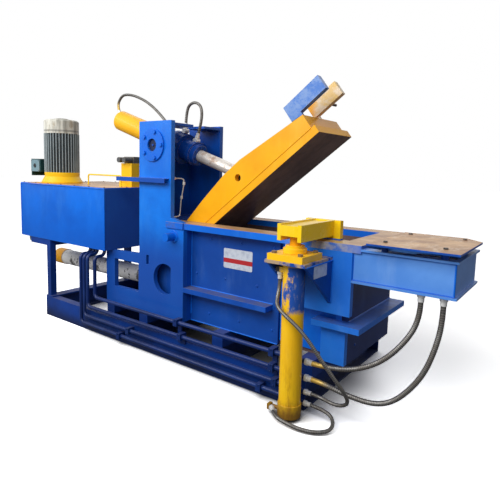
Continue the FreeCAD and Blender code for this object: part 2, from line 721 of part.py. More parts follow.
pin_front = s.box_front - s.hinge_reach
node(drum("hinge_pin_bar", s.hinge_radius, "y", (pin_front, s.box_back), s.hinge_x, s.hinge_z),
     "hinge_pin")
boss = drum("hinge_boss_disc", s.boss_radius, "y", (s.box_front - s.boss_height, s.box_front),
            s.hinge_x, s.hinge_z)
boss_bore = drum("hinge_boss_bore", s.hinge_radius, "y",
                 (s.box_front - s.boss_height, s.box_front), s.hinge_x, s.hinge_z)
node(cut("hinge_boss", boss, [boss_bore]), "hinge_boss")


def bolt_set(name, places, turn, grip):
    """Bolts at the places; turn carries their own upright axis to the outward one."""
    items = []
    for number, place in enumerate(places, 1):
        item = hexagon_bolt("%s_%d" % (name, number), grip)
        item.Placement = Placement(Vector(), turn)
        items.append(move(item, *place))
    return group(name + "_set", items)


FACE_FRONT = Rotation(Vector(1, 0, 0), 90)
node(bolt_set("flange_bolt", [(x, s.box_front - s.flange_thick, z) for x, z in flange_places],
              FACE_FRONT, s.flange_thick), "trunnion_bolts")

# ---------------------------------------------------------------- lid, drawn shut, turned open


def lid_plate(label, corners, thickness, near_face, circles=(), bosses=()):
    """An upright plate of the lid: drawn with the lid shut, from the hinge, then turned open."""
    item = plate(label + "_sheet", corners, thickness, circles=circles, bosses=bosses)
    tilt(item, Vector(0, -1, 0), s.lid_open)
    return node(move(item, s.hinge_x, near_face, s.hinge_z), label)


plate_top = s.press_plate - s.press_drop
side_end = s.lid_length - s.lid_lip
side_outline = [
    (0, -s.lid_end_radius), (s.press_start, -s.press_drop), (s.press_start, plate_top),
    (side_end, plate_top), (side_end, s.lid_nose_n),
    (s.lid_crest_end, s.lid_crest_n), (s.lid_crest_u, s.lid_crest_n),
    (s.lid_rise_u, s.lid_rise_n), (s.lid_rear_u, s.lid_rear_n), (0, s.lid_end_radius),
]
hinge_hole = ((0, 0), s.hinge_radius + s.shaft_gap)
rod_pin_centre = (s.clevis_u, s.clevis_n)
near_holes = [hinge_hole, (rod_pin_centre, s.access_radius)]
hinge_land = [((0, 0), s.lid_end_radius)]
lid_plate("lid_near_side", side_outline, s.lid_side, -s.lid_half, near_holes, hinge_land)
lid_plate("lid_far_side", side_outline, s.lid_side, s.lid_half - s.lid_side,
          [hinge_hole], hinge_land)
lid_plate("lid_press_plate", rectangle((s.press_start, s.lid_length), (-s.press_drop, plate_top)),
          2 * s.lid_half, -s.lid_half)

cheek_gap = s.shaft_gap + s.bolt_gap
cheek_radius = s.clevis_radius + s.clevis_wall
cheek_outline = [
    (s.clevis_u - 2 * cheek_radius, plate_top), (s.clevis_u + 2 * cheek_radius, plate_top),
    (s.clevis_u + cheek_radius * 0.7, s.clevis_n + cheek_radius * 0.7),
    (s.clevis_u - cheek_radius * 0.7, s.clevis_n + cheek_radius * 0.7),
]
pin_hole = [(rod_pin_centre, s.clevis_radius)]
cheek_land = [(rod_pin_centre, cheek_radius)]
near_cheek = barrel_y - s.eye_width / 2 - cheek_gap - s.lid_side
far_cheek = barrel_y + s.eye_width / 2 + cheek_gap
lid_plate("lid_clevis_near", cheek_outline, s.lid_side, near_cheek, pin_hole, cheek_land)
lid_plate("lid_clevis_far", cheek_outline, s.lid_side, far_cheek, pin_hole, cheek_land)
pin_near = near_cheek - s.lid_side
node(drum("rod_pin_bar", s.clevis_radius, "y", (pin_near, far_cheek + 2 * s.lid_side),
          clevis_x, clevis_z), "rod_pin")

inner_half = s.lid_half - s.lid_side
for label, start in (("lid_rib_first", s.rib_first), ("lid_rib_second", s.rib_second),
                     ("lid_rib_third", s.rib_third)):
    lid_plate(label, rectangle((start, start + s.rib_plate), (plate_top, s.rib_top)),
              2 * inner_half, -inner_half)

hub = drum("lid_hub_tube", s.boss_radius, "y", (-inner_half, inner_half), s.hinge_x, s.hinge_z)
hub_bore = drum("lid_hub_bore", s.hinge_radius + s.shaft_gap, "y", (-inner_half, inner_half),
                s.hinge_x, s.hinge_z)
node(cut("lid_hub", hub, [hub_bore]), "lid_hub")

end_rib_y = (s.lid_half - s.lid_side) / 20
end_plate_u = side_end - s.rib_plate
lid_plate("lid_end_rib",
          [(s.rib_third + s.rib_plate, plate_top), (end_plate_u, plate_top),
           (end_plate_u, s.lid_nose_n), (s.rib_third + s.rib_plate, s.rib_top)],
          s.lid_side, -s.lid_side / 2 + end_rib_y)
lid_plate("lid_end_plate", rectangle((end_plate_u, side_end), (plate_top, s.lid_nose_n)),
          2 * inner_half, -inner_half)

stop_high = s.stop_low + s.stop_height
stop_end = s.lid_length + s.stop_reach


def lid_stop(label, length, near_face):
    """A thick stop bar that lies along the lid and comes down on the box's end when it shuts."""
    shape = rectangle((stop_end - length, stop_end), (s.stop_low, stop_high))
    return lid_plate(label, shape, s.stop_thick, near_face)


lid_stop("lid_stop_near", s.near_stop_length, -s.lid_half)
lid_stop("lid_stop_middle", s.middle_stop_length, end_rib_y - s.stop_thick / 2)


def stop_web(label, length, thickness, near_face):
    """The plate that joins a stop bar to the lid below it."""
    start = stop_end - length
    return lid_plate(label, [(start, s.rib_top), (side_end, s.lid_nose_n),
                             (side_end, s.stop_low), (start, s.stop_low)],
                     thickness, near_face)


stop_web("lid_stop_web_near", s.near_stop_length, s.lid_side, -s.lid_half)
stop_web("lid_stop_web_middle", s.middle_stop_length, s.lid_side, -s.lid_side / 2 + end_rib_y)

# ---------------------------------------------------------------- lid cylinder, on its trunnion


def along_barrel(item):
    """Puts a piece drawn about the level axis on the lid cylinder's axis."""
    tilt(item, Vector(0, 1, 0), barrel_tilt)
    return move(item, s.trunnion_x, barrel_y, s.trunnion_z)


bore_radius = s.barrel_radius - s.barrel_wall
gland_start = s.gland_reach - s.gland_radius
tube_outline = [
    (-s.barrel_rear, 0), (-s.barrel_rear, s.barrel_radius - s.bolt_gap),
    (s.bolt_gap - s.barrel_rear, s.barrel_radius),
    (-s.collar_half, s.barrel_radius), (-s.collar_half, s.collar_radius),
    (s.collar_half, s.collar_radius), (s.collar_half, s.barrel_radius),
    (gland_start, s.barrel_radius), (gland_start, bore_radius),
    (s.barrel_wall * 3 - s.barrel_rear, bore_radius), (s.barrel_wall * 3 - s.barrel_rear, 0),
]
barrel = along_barrel(turned("lid_barrel_turned", tube_outline, "H_Axis"))
pin_span = (s.box_front - s.flange_thick + s.trunnion_recess, far_face + s.flange_thick)
near_pin = drum("near_trunnion", s.trunnion_radius, "y",
                (pin_span[0], barrel_y - s.barrel_radius + s.barrel_wall / 3),
                s.trunnion_x, s.trunnion_z)
far_pin = drum("far_trunnion", s.trunnion_radius, "y",
               (barrel_y + s.barrel_radius - s.barrel_wall / 3, pin_span[1]),
               s.trunnion_x, s.trunnion_z)
node(fuse("lid_barrel", [barrel, near_pin, far_pin]), "lid_cylinder_barrel")
rod_bore = s.lid_rod_radius + s.shaft_gap
gland_outline = [
    (gland_start, rod_bore), (gland_start, s.gland_radius + s.barrel_wall),
    (gland_start + s.barrel_wall * 3, s.gland_radius + s.barrel_wall),
    (gland_start + s.barrel_wall * 3, s.gland_radius),
    (s.gland_reach - s.bolt_gap, s.gland_radius),
    (s.gland_reach, s.gland_radius - s.bolt_gap), (s.gland_reach, rod_bore),
]
node(along_barrel(turned("lid_gland_turned", gland_outline, "H_Axis")), "lid_cylinder_gland")

eye_radius = eye_bore + s.clevis_wall / 2
piston_end = gland_start - s.lid_stroke
piston_start = piston_end - s.collar_half
rod_outline = [
    (piston_start, 0), (piston_start, bore_radius - s.shaft_gap),
    (piston_end, bore_radius - s.shaft_gap), (piston_end, s.lid_rod_radius),
    (barrel_span - eye_bore, s.lid_rod_radius), (barrel_span - eye_bore, 0),
]
rod = along_barrel(turned("lid_rod_turned", rod_outline, "H_Axis"))
eye = drum("rod_eye_disc", eye_radius, "y",
           (barrel_y - s.eye_width / 2, barrel_y + s.eye_width / 2), clevis_x, clevis_z)
eye_cut = drum("rod_eye_bore", eye_bore, "y",
               (barrel_y - s.eye_width / 2, barrel_y + s.eye_width / 2), clevis_x, clevis_z)
rod_solid = fuse("lid_rod_solid", [rod, eye])
node(cut("lid_rod", rod_solid, [eye_cut]), "lid_cylinder_rod")

# ---------------------------------------------------------------- press box

box_x = (bulkhead_right, end_left)
rod_hole = [((0, s.ram_axis_z), s.ram_rod_radius + s.shaft_gap)]


def plate_across(name, corners, x_span, circles=(), cuts=()):
    """A plate square to X: its outline is drawn in Y and Z."""
    item = plate(name, corners, x_span[1] - x_span[0], circles=circles, cuts=cuts)
    item.Placement = Placement(Vector(), Rotation(Vector(0, 0, 1), 90))
    return move(item, x_span[1])


node(plate_across("bulkhead", rectangle((plate_back, s.box_back - s.side_plate),
                                        (s.box_bottom, rim_low)),
                  (s.press_left, bulkhead_right), circles=rod_hole), "press_bulkhead")


def wall_sheet(name, x_span, z_span, near_face, thickness, bored):
    circles = [hinge_bore] if bored else []
    item = plate(name, rectangle(x_span, z_span), thickness, circles=circles)
    return move(item, y=near_face)


rim_inner = -s.chamber_half - s.carrier_plate - 2 * s.carrier_gap
near_x = (bulkhead_right, s.bay_left)
wall_z = (s.box_bottom, rim_low)
node(wall_sheet("near_wall_sheet", near_x, wall_z, -wall_out, s.wall_plate, True),
     "box_near_wall")
ledge_x = (s.shoulder_right, s.bay_left - s.ledge_gap)
node(block("near_ledge_bar", ledge_x, (s.box_front, -wall_out), (s.ledge_low, s.ledge_high)),
     "box_near_ledge")
liner_z = (floor_top, rim_low)
node(wall_sheet("near_liner_sheet", near_x, liner_z, -wall_in, s.liner_plate, True),
     "box_near_liner")
node(wall_sheet("far_wall_sheet", box_x, wall_z, wall_in, s.wall_plate, True), "box_far_wall")
node(wall_sheet("far_liner_sheet", box_x, liner_z, s.chamber_half, s.liner_plate, True),
     "box_far_liner")
node(block("far_ledge_bar", (s.shoulder_right, end_left), (wall_out, s.box_back),
           (s.ledge_low, s.ledge_high)), "box_far_ledge")

floor_sheet = block("floor_sheet", box_x, (-wall_in, wall_in), (s.box_bottom, floor_top))
floor_recess = block("floor_recess", (s.bay_left, s.bay_right),
                     (-wall_in, s.foot_reach - s.chamber_half + s.bolt_gap),
                     (floor_top - s.foot_plate - s.bolt_gap / 10, floor_top))
node(cut("floor_plate_cut", floor_sheet, [floor_recess]), "box_floor")

post_back = s.box_front + s.post_plate
node(block("post_sheet", (s.post_left, s.box_right), (s.box_front, post_back),
           (s.post_low, rim_low)), "box_post_plate")
node(block("low_post_bar", (s.foot_post_left, s.end_face), (-wall_out - s.post_plate, -wall_out),
           (s.box_bottom, s.ledge_low)), "box_low_post")
corner_blocks = [
    block("corner_low", (s.bay_right, end_left), (-wall_out, -wall_in),
          (s.box_bottom, rim_low)),
    block("corner_liner", (s.bay_right, end_left), (-wall_in, -s.chamber_half),
          (floor_top, rim_low)),
    block("corner_link", (s.bay_right, s.end_face), (post_back, -wall_out),
          (s.post_low, rim_low)),
]
node(fuse("corner_post_solid", corner_blocks), "box_corner_post")

ledge_start = s.foot_post_left - s.ledge_gap
end_ledge = [block("ledge_front_bar", (ledge_start, s.ledge_right),
                   (s.box_front, -wall_out), (s.ledge_low, s.ledge_high)),
             block("ledge_end_bar", (s.end_face, s.ledge_right),
                   (-wall_out, s.box_back), (s.ledge_low, s.ledge_high))]
node(fuse("end_ledge_solid", end_ledge), "box_end_ledge")

bolt_slot = rectangle((s.lock_y - s.bolt_half - s.bolt_gap, s.lock_y + s.bolt_half + s.bolt_gap),
                      (bolt_z - s.bolt_height / 2 - s.bolt_gap,
                       bolt_z + s.bolt_height / 2 + s.bolt_gap))
node(plate_across("end_sheet", rectangle((-wall_out, s.box_back), (s.box_bottom, rim_low)),
                  (end_left, s.end_face), cuts=[bolt_slot]), "box_end_wall")

rim_z = (rim_low, s.box_top)
near_rim_sheet = block("near_rim_sheet", (s.roof_right, end_left),
                       (s.box_front, -s.chamber_half), rim_z)
rim_step = block("near_rim_step", (s.roof_right, s.shoulder_right),
                 (s.box_front, plate_back), rim_z)
rim_slot = block("near_rim_slot", (s.bay_left, s.bay_right),
                 (rim_inner, -s.chamber_half), rim_z)
node(cut("near_rim", near_rim_sheet, [rim_step, rim_slot]), "box_near_rim")
node(block("far_rim_sheet", (s.roof_right, end_left), (s.chamber_half, s.box_back), rim_z),
     "box_far_rim")
node(block("end_rim_sheet", (end_left, rim_right), (s.box_front, s.box_back), rim_z),
     "box_end_rim")
node(block("rim_tongue_strip", (s.tongue_left, s.shoulder_right),
           (s.box_front - s.tongue_plate, s.box_front), rim_z), "box_rim_tongue")

# ---------------------------------------------------------------- ram and its long cylinder

ram_half = s.chamber_half - s.ram_gap
ram_left = s.ram_front - s.ram_depth
ram_z = (floor_top + s.ram_gap, s.ram_top)
ram_shell = block("ram_shell", (ram_left, s.ram_front), (-ram_half, ram_half), ram_z)
ram_hollow = block("ram_hollow", (ram_left, s.ram_front - s.ram_plate),
                   (s.ram_plate - ram_half, ram_half - s.ram_plate),
                   (ram_z[0] + s.ram_plate, s.ram_top - s.ram_plate))
node(cut("ram_box", ram_shell, [ram_hollow]), "ram_head")

axis_z = s.ram_axis_z
tube_left = s.ram_barrel_left + s.ram_cap_length
flange_left = s.press_left - s.ram_flange_thick
ram_bore = s.ram_barrel_radius - s.barrel_wall
rod_hole_radius = s.ram_rod_radius + s.shaft_gap
ram_tube = turned("ram_tube_turned", [
    (tube_left, ram_bore), (tube_left, s.ram_barrel_radius),
    (flange_left, s.ram_barrel_radius), (flange_left, s.ram_flange_radius),
    (s.press_left - s.bolt_gap, s.ram_flange_radius),
    (s.press_left, s.ram_flange_radius - s.bolt_gap), (s.press_left, rod_hole_radius),
    (flange_left, rod_hole_radius), (flange_left, ram_bore)], "H_Axis")
node(move(ram_tube, z=axis_z), "ram_cylinder_tube")
ram_cap = turned("ram_cap_turned", [
    (s.ram_barrel_left, 0), (s.ram_barrel_left, s.ram_cap_radius - s.bolt_gap),
    (s.ram_barrel_left + s.bolt_gap, s.ram_cap_radius), (tube_left, s.ram_cap_radius),
    (tube_left, 0)], "H_Axis")
node(move(ram_cap, z=axis_z), "ram_cylinder_cap")
ram_piston = s.ram_barrel_left + 3 * s.ram_cap_length
ram_rod = turned("ram_rod_turned", [
    (ram_piston, 0), (ram_piston, ram_bore - s.shaft_gap),
    (ram_piston + s.ram_plate, ram_bore - s.shaft_gap), (ram_piston + s.ram_plate, s.ram_rod_radius),
    (s.ram_front - s.ram_plate, s.ram_rod_radius), (s.ram_front - s.ram_plate, 0)], "H_Axis")
node(move(ram_rod, z=axis_z), "ram_rod")

# ---------------------------------------------------------------- bale lifter

lift_x, lift_y = s.lifter_x, s.lifter_y
bracket_front = s.box_front - s.bracket_reach
bracket_x = (lift_x - s.bracket_half, lift_x + s.bracket_half)
bracket_low = s.bracket_top - s.bracket_plate
bracket_sheet = block("bracket_sheet", bracket_x, (bracket_front, s.box_front),
                      (bracket_low, s.bracket_top))
bracket_bore = drum("bracket_bore", s.lifter_radius, "z", (bracket_low, s.bracket_top),
                    lift_x, lift_y)
node(cut("lift_bracket", bracket_sheet, [bracket_bore]), "lifter_bracket")


def gusset(name, near_x):
    """A triangle plate that carries the bracket's edge down to the wall."""
    corners = [(s.box_front, bracket_low), (bracket_front + s.bracket_plate, bracket_low),
               (s.box_front, bracket_low - s.gusset_height)]
    item = plate(name, [(y, z) for y, z in corners], s.bracket_plate)
    item.Placement = Placement(Vector(), Rotation(Vector(0, 0, 1), 90))
    return move(item, near_x + s.bracket_plate)


node(group("gussets", [gusset("gusset_left", bracket_x[0]),
                       gusset("gusset_right", bracket_x[1] - s.bracket_plate)]),
     "lifter_gussets")

flange_top = s.bracket_top + s.mount_thick
mount_sheet = block("mount_sheet", (lift_x - s.mount_half, lift_x + s.mount_half),
                    (lift_y - s.mount_half, lift_y + s.mount_half), (s.bracket_top, flange_top))
mount_bore = drum("mount_bore", s.lifter_radius, "z", (s.bracket_top, flange_top), lift_x, lift_y)
bolt_step = s.mount_half - s.bolt_across
mount_places = [(lift_x + a * bolt_step, lift_y + b * bolt_step)
                for a in (-1, 1) for b in (-1, 1)]
mount_drillings = [drum("mount_drilling_%d" % number, s.bolt_shank, "z",
                        (s.bracket_top, flange_top), x, y)
                   for number, (x, y) in enumerate(mount_places, 1)]
node(cut("mount_flange", mount_sheet, [mount_bore] + mount_drillings), "lifter_flange")
node(bolt_set("mount_bolt", [(x, y, flange_top) for x, y in mount_places],
              Rotation(), s.mount_thick), "lifter_bolts")

lift_bore = s.lifter_radius - s.lifter_wall
lift_tube = turned("lift_tube_turned", [
    (lift_bore, s.lifter_low + s.lifter_cap), (s.lifter_radius, s.lifter_low + s.lifter_cap),
    (s.lifter_radius, flange_top), (lift_bore, flange_top)])
node(move(lift_tube, lift_x, lift_y), "lifter_tube")
cap_radius = s.lifter_radius + s.lifter_wall * 0.6
lift_cap = turned("lift_cap_turned", [
    (0, s.lifter_low), (cap_radius - s.bolt_gap, s.lifter_low),
    (cap_radius, s.lifter_low + s.bolt_gap), (cap_radius, s.lifter_low + s.lifter_cap),
    (0, s.lifter_low + s.lifter_cap)])
node(move(lift_cap, lift_x, lift_y), "lifter_cap")
lift_rod_bore = s.lifter_rod_radius + s.shaft_gap
ring_mid = flange_top + s.collar_low_height
ring_top = ring_mid + s.collar_high_height
lift_gland = turned("lift_gland_turned", [
    (lift_rod_bore, flange_top), (s.collar_low_radius - s.bolt_gap, flange_top),
    (s.collar_low_radius, flange_top + s.bolt_gap),
    (s.collar_low_radius, ring_mid - s.bolt_gap), (s.collar_low_radius - s.bolt_gap, ring_mid),
    (s.collar_high_radius, ring_mid), (s.collar_high_radius, ring_top),
    (lift_rod_bore, ring_top)])
node(move(lift_gland, lift_x, lift_y), "lifter_gland")

lift_piston = s.lifter_low + s.lifter_cap + s.bolt_across
lift_rod = turned("lift_rod_turned", [
    (0, lift_piston), (lift_bore - s.shaft_gap, lift_piston),
    (lift_bore - s.shaft_gap, lift_piston + s.ram_plate), (s.lifter_rod_radius, lift_piston + s.ram_plate),
    (s.lifter_rod_radius, s.yoke_block_low), (0, s.yoke_block_low)])
node(move(lift_rod, lift_x, lift_y), "lifter_rod")
yoke_front = lift_y - s.yoke_nose
carrier_y = (-s.chamber_half - s.carrier_gap - s.carrier_plate, -s.chamber_half - s.carrier_gap)
head_half = s.yoke_half - s.yoke_bar
node(block("yoke_head_block", (lift_x - head_half, lift_x + head_half),
           (yoke_front, lift_y + s.yoke_nose), (s.yoke_block_low, s.yoke_block_high)),
     "yoke_head")
side_bars = [block("yoke_bar_left", (lift_x - s.yoke_half, lift_x - head_half),
                   (yoke_front, carrier_y[0]), (s.yoke_low, s.yoke_high)),
             block("yoke_bar_right", (lift_x + head_half, lift_x + s.yoke_half),
                   (yoke_front, carrier_y[0]), (s.yoke_low, s.yoke_high))]
node(group("yoke_bars", side_bars), "yoke_side_bars")
node(block("yoke_cover_sheet", (lift_x - head_half, lift_x + head_half),
           (lift_y + s.yoke_nose, carrier_y[0]), (s.yoke_block_high - s.yoke_bar, s.yoke_block_high)),
     "yoke_cover")
beam_low = s.box_top + s.beam_half_gap
node(block("yoke_beam_bar", (2 * lift_x - s.beam_right, s.beam_right), carrier_y,
           (beam_low, s.yoke_high)), "yoke_cross_beam")
carrier_x = (s.bay_left + s.carrier_gap, s.bay_right - s.carrier_gap)
foot_low = floor_top - s.foot_plate
node(block("carrier_sheet", carrier_x, carrier_y, (foot_low, beam_low)), "lifter_carrier")
node(block("foot_sheet", carrier_x, (carrier_y[1], s.foot_reach - s.chamber_half),
           (foot_low, floor_top)), "lifter_foot")

# ---------------------------------------------------------------- lock frame and lock bolt

web = s.channel_plate
table_front = s.box_front + web
lip_front = table_front - s.frame_lip
lip_right = s.table_right + s.frame_lip
low_z = (s.table_low, s.table_low + web)
high_z = (s.table_high - web, s.table_high)


def frame_side(name, web_y, flange_y, left):
    """One channel of the frame; its web steps over the rim and it starts at left."""
    outline = [(left, s.table_low), (s.table_right - web, s.table_low),
               (s.table_right - web, s.table_high), (rim_right, s.table_high),
               (rim_right, rim_low), (left, rim_low)]
    right = s.table_right - web
    parts = [move(plate(name + "_web", outline, web), y=web_y),
             block(name + "_low_flange", (left, right), flange_y, low_z),
             block(name + "_high_flange", (rim_right, right), flange_y, high_z)]
    if left is s.box_right:
        parts += [block(name + "_low_lip", (left, lip_right), (lip_front, table_front), low_z),
                  block(name + "_high_lip", (rim_right, lip_right), (lip_front, table_front), high_z)]
    return fuse(name + "_channel", parts)


near_flange_y = (table_front + web, table_front + s.channel_flange)
far_flange_y = (s.table_back - s.channel_flange, s.table_back - web)
node(frame_side("table_near", table_front, near_flange_y, s.box_right), "lock_frame_near")
node(frame_side("table_far", s.table_back - web, far_flange_y, s.end_face), "lock_frame_far")
end_y = (table_front, s.table_back)
node(fuse("table_end_channel", [
    block("table_end_sheet", (s.table_right - web, s.table_right), end_y,
          (s.table_low, s.table_high)),
    block("table_end_low_lip", (s.table_right, lip_right), end_y, low_z),
    block("table_end_high_lip", (s.table_right, lip_right), end_y, high_z)]), "lock_frame_end")
bottom_sheet = block("table_bottom_sheet", (s.lock_barrel_left, s.table_right - web),
                     (near_flange_y[1], far_flange_y[0]), low_z)
node(bottom_sheet, "lock_frame_tray")

spacer_rows = (table_front + s.channel_flange / 2, s.table_back - s.channel_flange / 2)
spacer_columns = (s.cover_left + s.channel_flange, s.table_right - s.channel_flange)
spacers = [drum("spacer_%d%d" % (a, b), s.spacer_radius, "z", (s.table_high, s.cover_low), x, y)
           for a, x in enumerate(spacer_columns) for b, y in enumerate(spacer_rows)]
node(group("spacers", spacers), "cover_spacers")
cover = start_body("cover_body")
cover_sketch = new_sketch(cover, "XY_Plane")
draw_outline(cover_sketch, [
    (s.cover_left, s.cover_front), (s.cover_right, s.cover_front),
    (s.cover_right, s.cover_back - s.cover_corner),
    (s.cover_right - s.cover_corner, s.cover_back), (s.cover_left, s.cover_back)])
pad(cover, cover_sketch, s.cover_plate).Reversed = False
node(move(cover, z=s.cover_low), "lock_cover")

bolt_right = s.bolt_tip + s.bolt_length
bolt_z_span = (bolt_z - s.bolt_height / 2, bolt_z + s.bolt_height / 2)
lock_bolt = plate("lock_bolt_body", [
    (s.bolt_tip, bolt_z_span[0]), (bolt_right, bolt_z_span[0]), (bolt_right, bolt_z_span[1]),
    (s.bolt_tip + s.bolt_height / 4, bolt_z_span[1]),
    (s.bolt_tip, bolt_z_span[1] - s.bolt_height / 4)], 2 * s.bolt_half)
node(move(lock_bolt, y=s.lock_y - s.bolt_half), "lock_bolt")
lock_end = s.table_right - web
gland_end = s.lock_barrel_left + s.lock_barrel_radius
lock_bore = s.lock_barrel_radius - s.lifter_wall
lock_tube = turned("lock_tube_turned", [
    (s.lock_barrel_left, s.lock_rod_radius + s.shaft_gap),
    (s.lock_barrel_left, s.lock_barrel_radius), (lock_end, s.lock_barrel_radius),
    (lock_end, 0), (lock_end - s.ram_plate, 0), (lock_end - s.ram_plate, lock_bore),
    (gland_end, lock_bore), (gland_end, s.lock_rod_radius + s.shaft_gap)], "H_Axis")
node(move(lock_tube, y=s.lock_y, z=bolt_z), "lock_cylinder")
lock_rod = turned("lock_rod_turned", [
    (bolt_right, 0), (bolt_right, s.lock_rod_radius), (lock_end - 2 * s.ram_plate, s.lock_rod_radius),
    (lock_end - 2 * s.ram_plate, 0)], "H_Axis")
node(move(lock_rod, y=s.lock_y, z=bolt_z), "lock_rod")

# ---------------------------------------------------------------- oil tank and its cradle

tank_y = (s.tank_front, s.tank_back)
cover_z = s.tank_top - s.tank_cover_plate
tank_box = block("tank_box", (s.tank_left, s.tank_right), tank_y, (s.tank_bottom, cover_z))
tank_room = block("tank_room", (s.tank_left + s.tank_wall, s.tank_right - s.tank_wall),
                  (s.tank_front + s.tank_wall, s.tank_back - s.tank_wall),
                  (s.tank_bottom + s.tank_wall, cover_z))
node(cut("tank", tank_box, [tank_room]), "oil_tank")
tank_sheet = block("tank_sheet", (s.tank_left, s.tank_right), tank_y, (cover_z, s.tank_top))
pump_hole = drum("pump_hole", s.pump_radius, "z", (cover_z, s.tank_top), s.motor_x, s.motor_y)
node(cut("tank_cover_cut", tank_sheet, [pump_hole]), "tank_cover")
drain = turned("drain_turned", [
    (0, s.tank_bottom - 2 * s.bolt_across), (s.bolt_shank, s.tank_bottom - 2 * s.bolt_across),
    (s.bolt_across / 2, s.tank_bottom - s.bolt_across), (s.bolt_across / 2, s.tank_bottom),
    (0, s.tank_bottom)])
node(move(drain, s.tank_left + 2 * s.bolt_across, s.tank_front + 2 * s.bolt_across), "tank_drain")

post_x = (s.base_left + s.post_inset, s.base_left + s.post_inset + s.post_size)
post_rows = ((s.base_front + s.post_inset, s.base_front + s.post_inset + s.post_size),
             (s.tank_back - s.post_size, s.tank_back))
cradle_z = (s.tank_bottom - s.cradle_height, s.tank_bottom)
cradle = [block("cradle_%d" % number, (s.cradle_left, post_x[1]), row, cradle_z)
          for number, row in enumerate(post_rows, 1)]
cradle.append(block("cradle_tie", (post_x[0], post_x[1]), (post_rows[0][1], post_rows[1][0]),
                    cradle_z))
node(group("cradle", cradle), "tank_cradle")
pad_top = s.base_height + s.pad_plate
tank_posts = [block("post_%d" % number, post_x, row, (pad_top, cradle_z[0]))
              for number, row in enumerate(post_rows, 1)]
node(group("posts", tank_posts), "tank_posts")
far_bearer = block("far_bearer", (s.base_left, s.base_left + s.pad_size),
                   (s.base_front + s.base_flange, s.base_back - s.base_flange),
                   (s.base_height, pad_top))
foot_pads = [far_bearer,
             block("near_pad", (s.base_left, s.base_left + s.pad_size),
                   (s.base_front, s.base_front + s.base_flange), (s.base_height, pad_top))]
node(fuse("foot_pads", foot_pads), "tank_foot_plate")

# ---------------------------------------------------------------- motor, pump and valves

motor_low = s.tank_top + s.bell_height
motor_high = motor_low + s.motor_height
cowl_top = motor_high + s.cowl_height
bell = turned("bell_turned", [
    (s.bell_neck - s.bell_wall, s.tank_top), (s.bell_radius, s.tank_top),
    (s.bell_radius, s.tank_top + s.bell_wall), (s.bell_neck + s.bell_wall, motor_low - 3 * s.bell_wall),
    (s.motor_radius, motor_low - s.bell_wall), (s.motor_radius, motor_low),
    (s.bell_neck - s.bell_wall, motor_low)])
node(move(bell, s.motor_x, s.motor_y), "bell_housing")

shaft_bore = s.shaft_radius + s.shaft_gap
frame_body = start_body("motor_body")
core = new_sketch(frame_body, "XY_Plane")
draw_circle(core, (0, 0), s.motor_core)
pad(frame_body, core, s.motor_height, "core").Reversed = False
fin = new_sketch(frame_body, "XY_Plane")
draw_outline(fin, [(s.motor_core - s.fin_thick, -s.fin_thick / 2), (s.motor_radius, -s.fin_thick / 2),
                   (s.motor_radius, s.fin_thick / 2), (s.motor_core - s.fin_thick, s.fin_thick / 2)])
fin_pad = pad(frame_body, fin, s.motor_height, "fin")
fin_pad.Reversed = False
fins = frame_body.newObject("PartDesign::PolarPattern", "motor_fins")
fins.Originals = [fin_pad]
fins.Axis = ([item for item in frame_body.Origin.OriginFeatures if item.Role == "Z_Axis"][0], [""])
fins.Angle = 360
bind(fins, "Occurrences", s.fin_count)
frame_body.Tip = fins
move(frame_body, s.motor_x, s.motor_y, motor_low)
box_y = (s.motor_y - s.terminal_front, s.motor_y + s.pump_radius)
terminal_z = (motor_low - s.ram_plate, motor_low + s.terminal_rise)
seat_right = s.motor_x - s.motor_core + s.bell_wall
box_seat = block("terminal_seat", (s.motor_x - s.motor_radius - s.bell_wall, seat_right),
                 box_y, (motor_low, terminal_z[1]))
motor_bore = drum("motor_bore", shaft_bore, "z", (motor_low, motor_high), s.motor_x, s.motor_y)
node(cut("motor", frame_body, [box_seat, motor_bore]), "motor_frame")
box_left = s.motor_x - s.motor_radius - s.terminal_reach
terminal = block("terminal_outer", (box_left, seat_right), box_y, (motor_low, terminal_z[1]))
terminal_step = block("terminal_step", (box_left, box_left + s.bell_wall),
                      (box_y[0], box_y[1]), (terminal_z[0], motor_low))
node(fuse("terminal", [terminal, terminal_step]), "terminal_box")
gland_x = (box_left + s.bell_wall + s.motor_x - s.motor_radius) / 2
node(drum("terminal_gland_ring", s.bolt_across, "z", (motor_low - s.bolt_across, motor_low),
          gland_x, s.motor_y), "terminal_gland")

cowl_inner = s.cowl_radius - s.cowl_wall
dome_low = cowl_top - s.cowl_height * 0.18
crown = s.cowl_radius * 0.45
cowl = turned("cowl_turned", [
    (cowl_inner, motor_high), (s.cowl_radius, motor_high), (s.cowl_radius, dome_low),
    (s.cowl_radius * 0.9, cowl_top - s.bell_wall), (crown, cowl_top - s.bell_wall),
    (crown * 0.9, cowl_top), (0, cowl_top), (0, cowl_top - s.cowl_wall),
    (crown * 0.9 - s.cowl_wall, cowl_top - s.cowl_wall),
    (crown - s.cowl_wall, cowl_top - s.bell_wall - s.cowl_wall),
    (s.cowl_radius * 0.9 - s.cowl_wall, cowl_top - s.bell_wall - s.cowl_wall),
    (cowl_inner, dome_low)])
node(move(cowl, s.motor_x, s.motor_y), "fan_cowl")
pump_low = s.tank_top - s.pump_length
fan_low = motor_high + s.bolt_across
rotor = turned("rotor_turned", [
    (0, s.tank_top + s.bolt_gap), (s.shaft_radius, s.tank_top + s.bolt_gap),
    (s.shaft_radius, fan_low), (s.motor_core, fan_low), (s.motor_core, fan_low + s.fin_thick),
    (s.shaft_radius * 2, fan_low + s.fin_thick), (s.shaft_radius, fan_low + s.bolt_across),
    (0, fan_low + s.bolt_across)])
node(move(rotor, s.motor_x, s.motor_y), "motor_rotor")
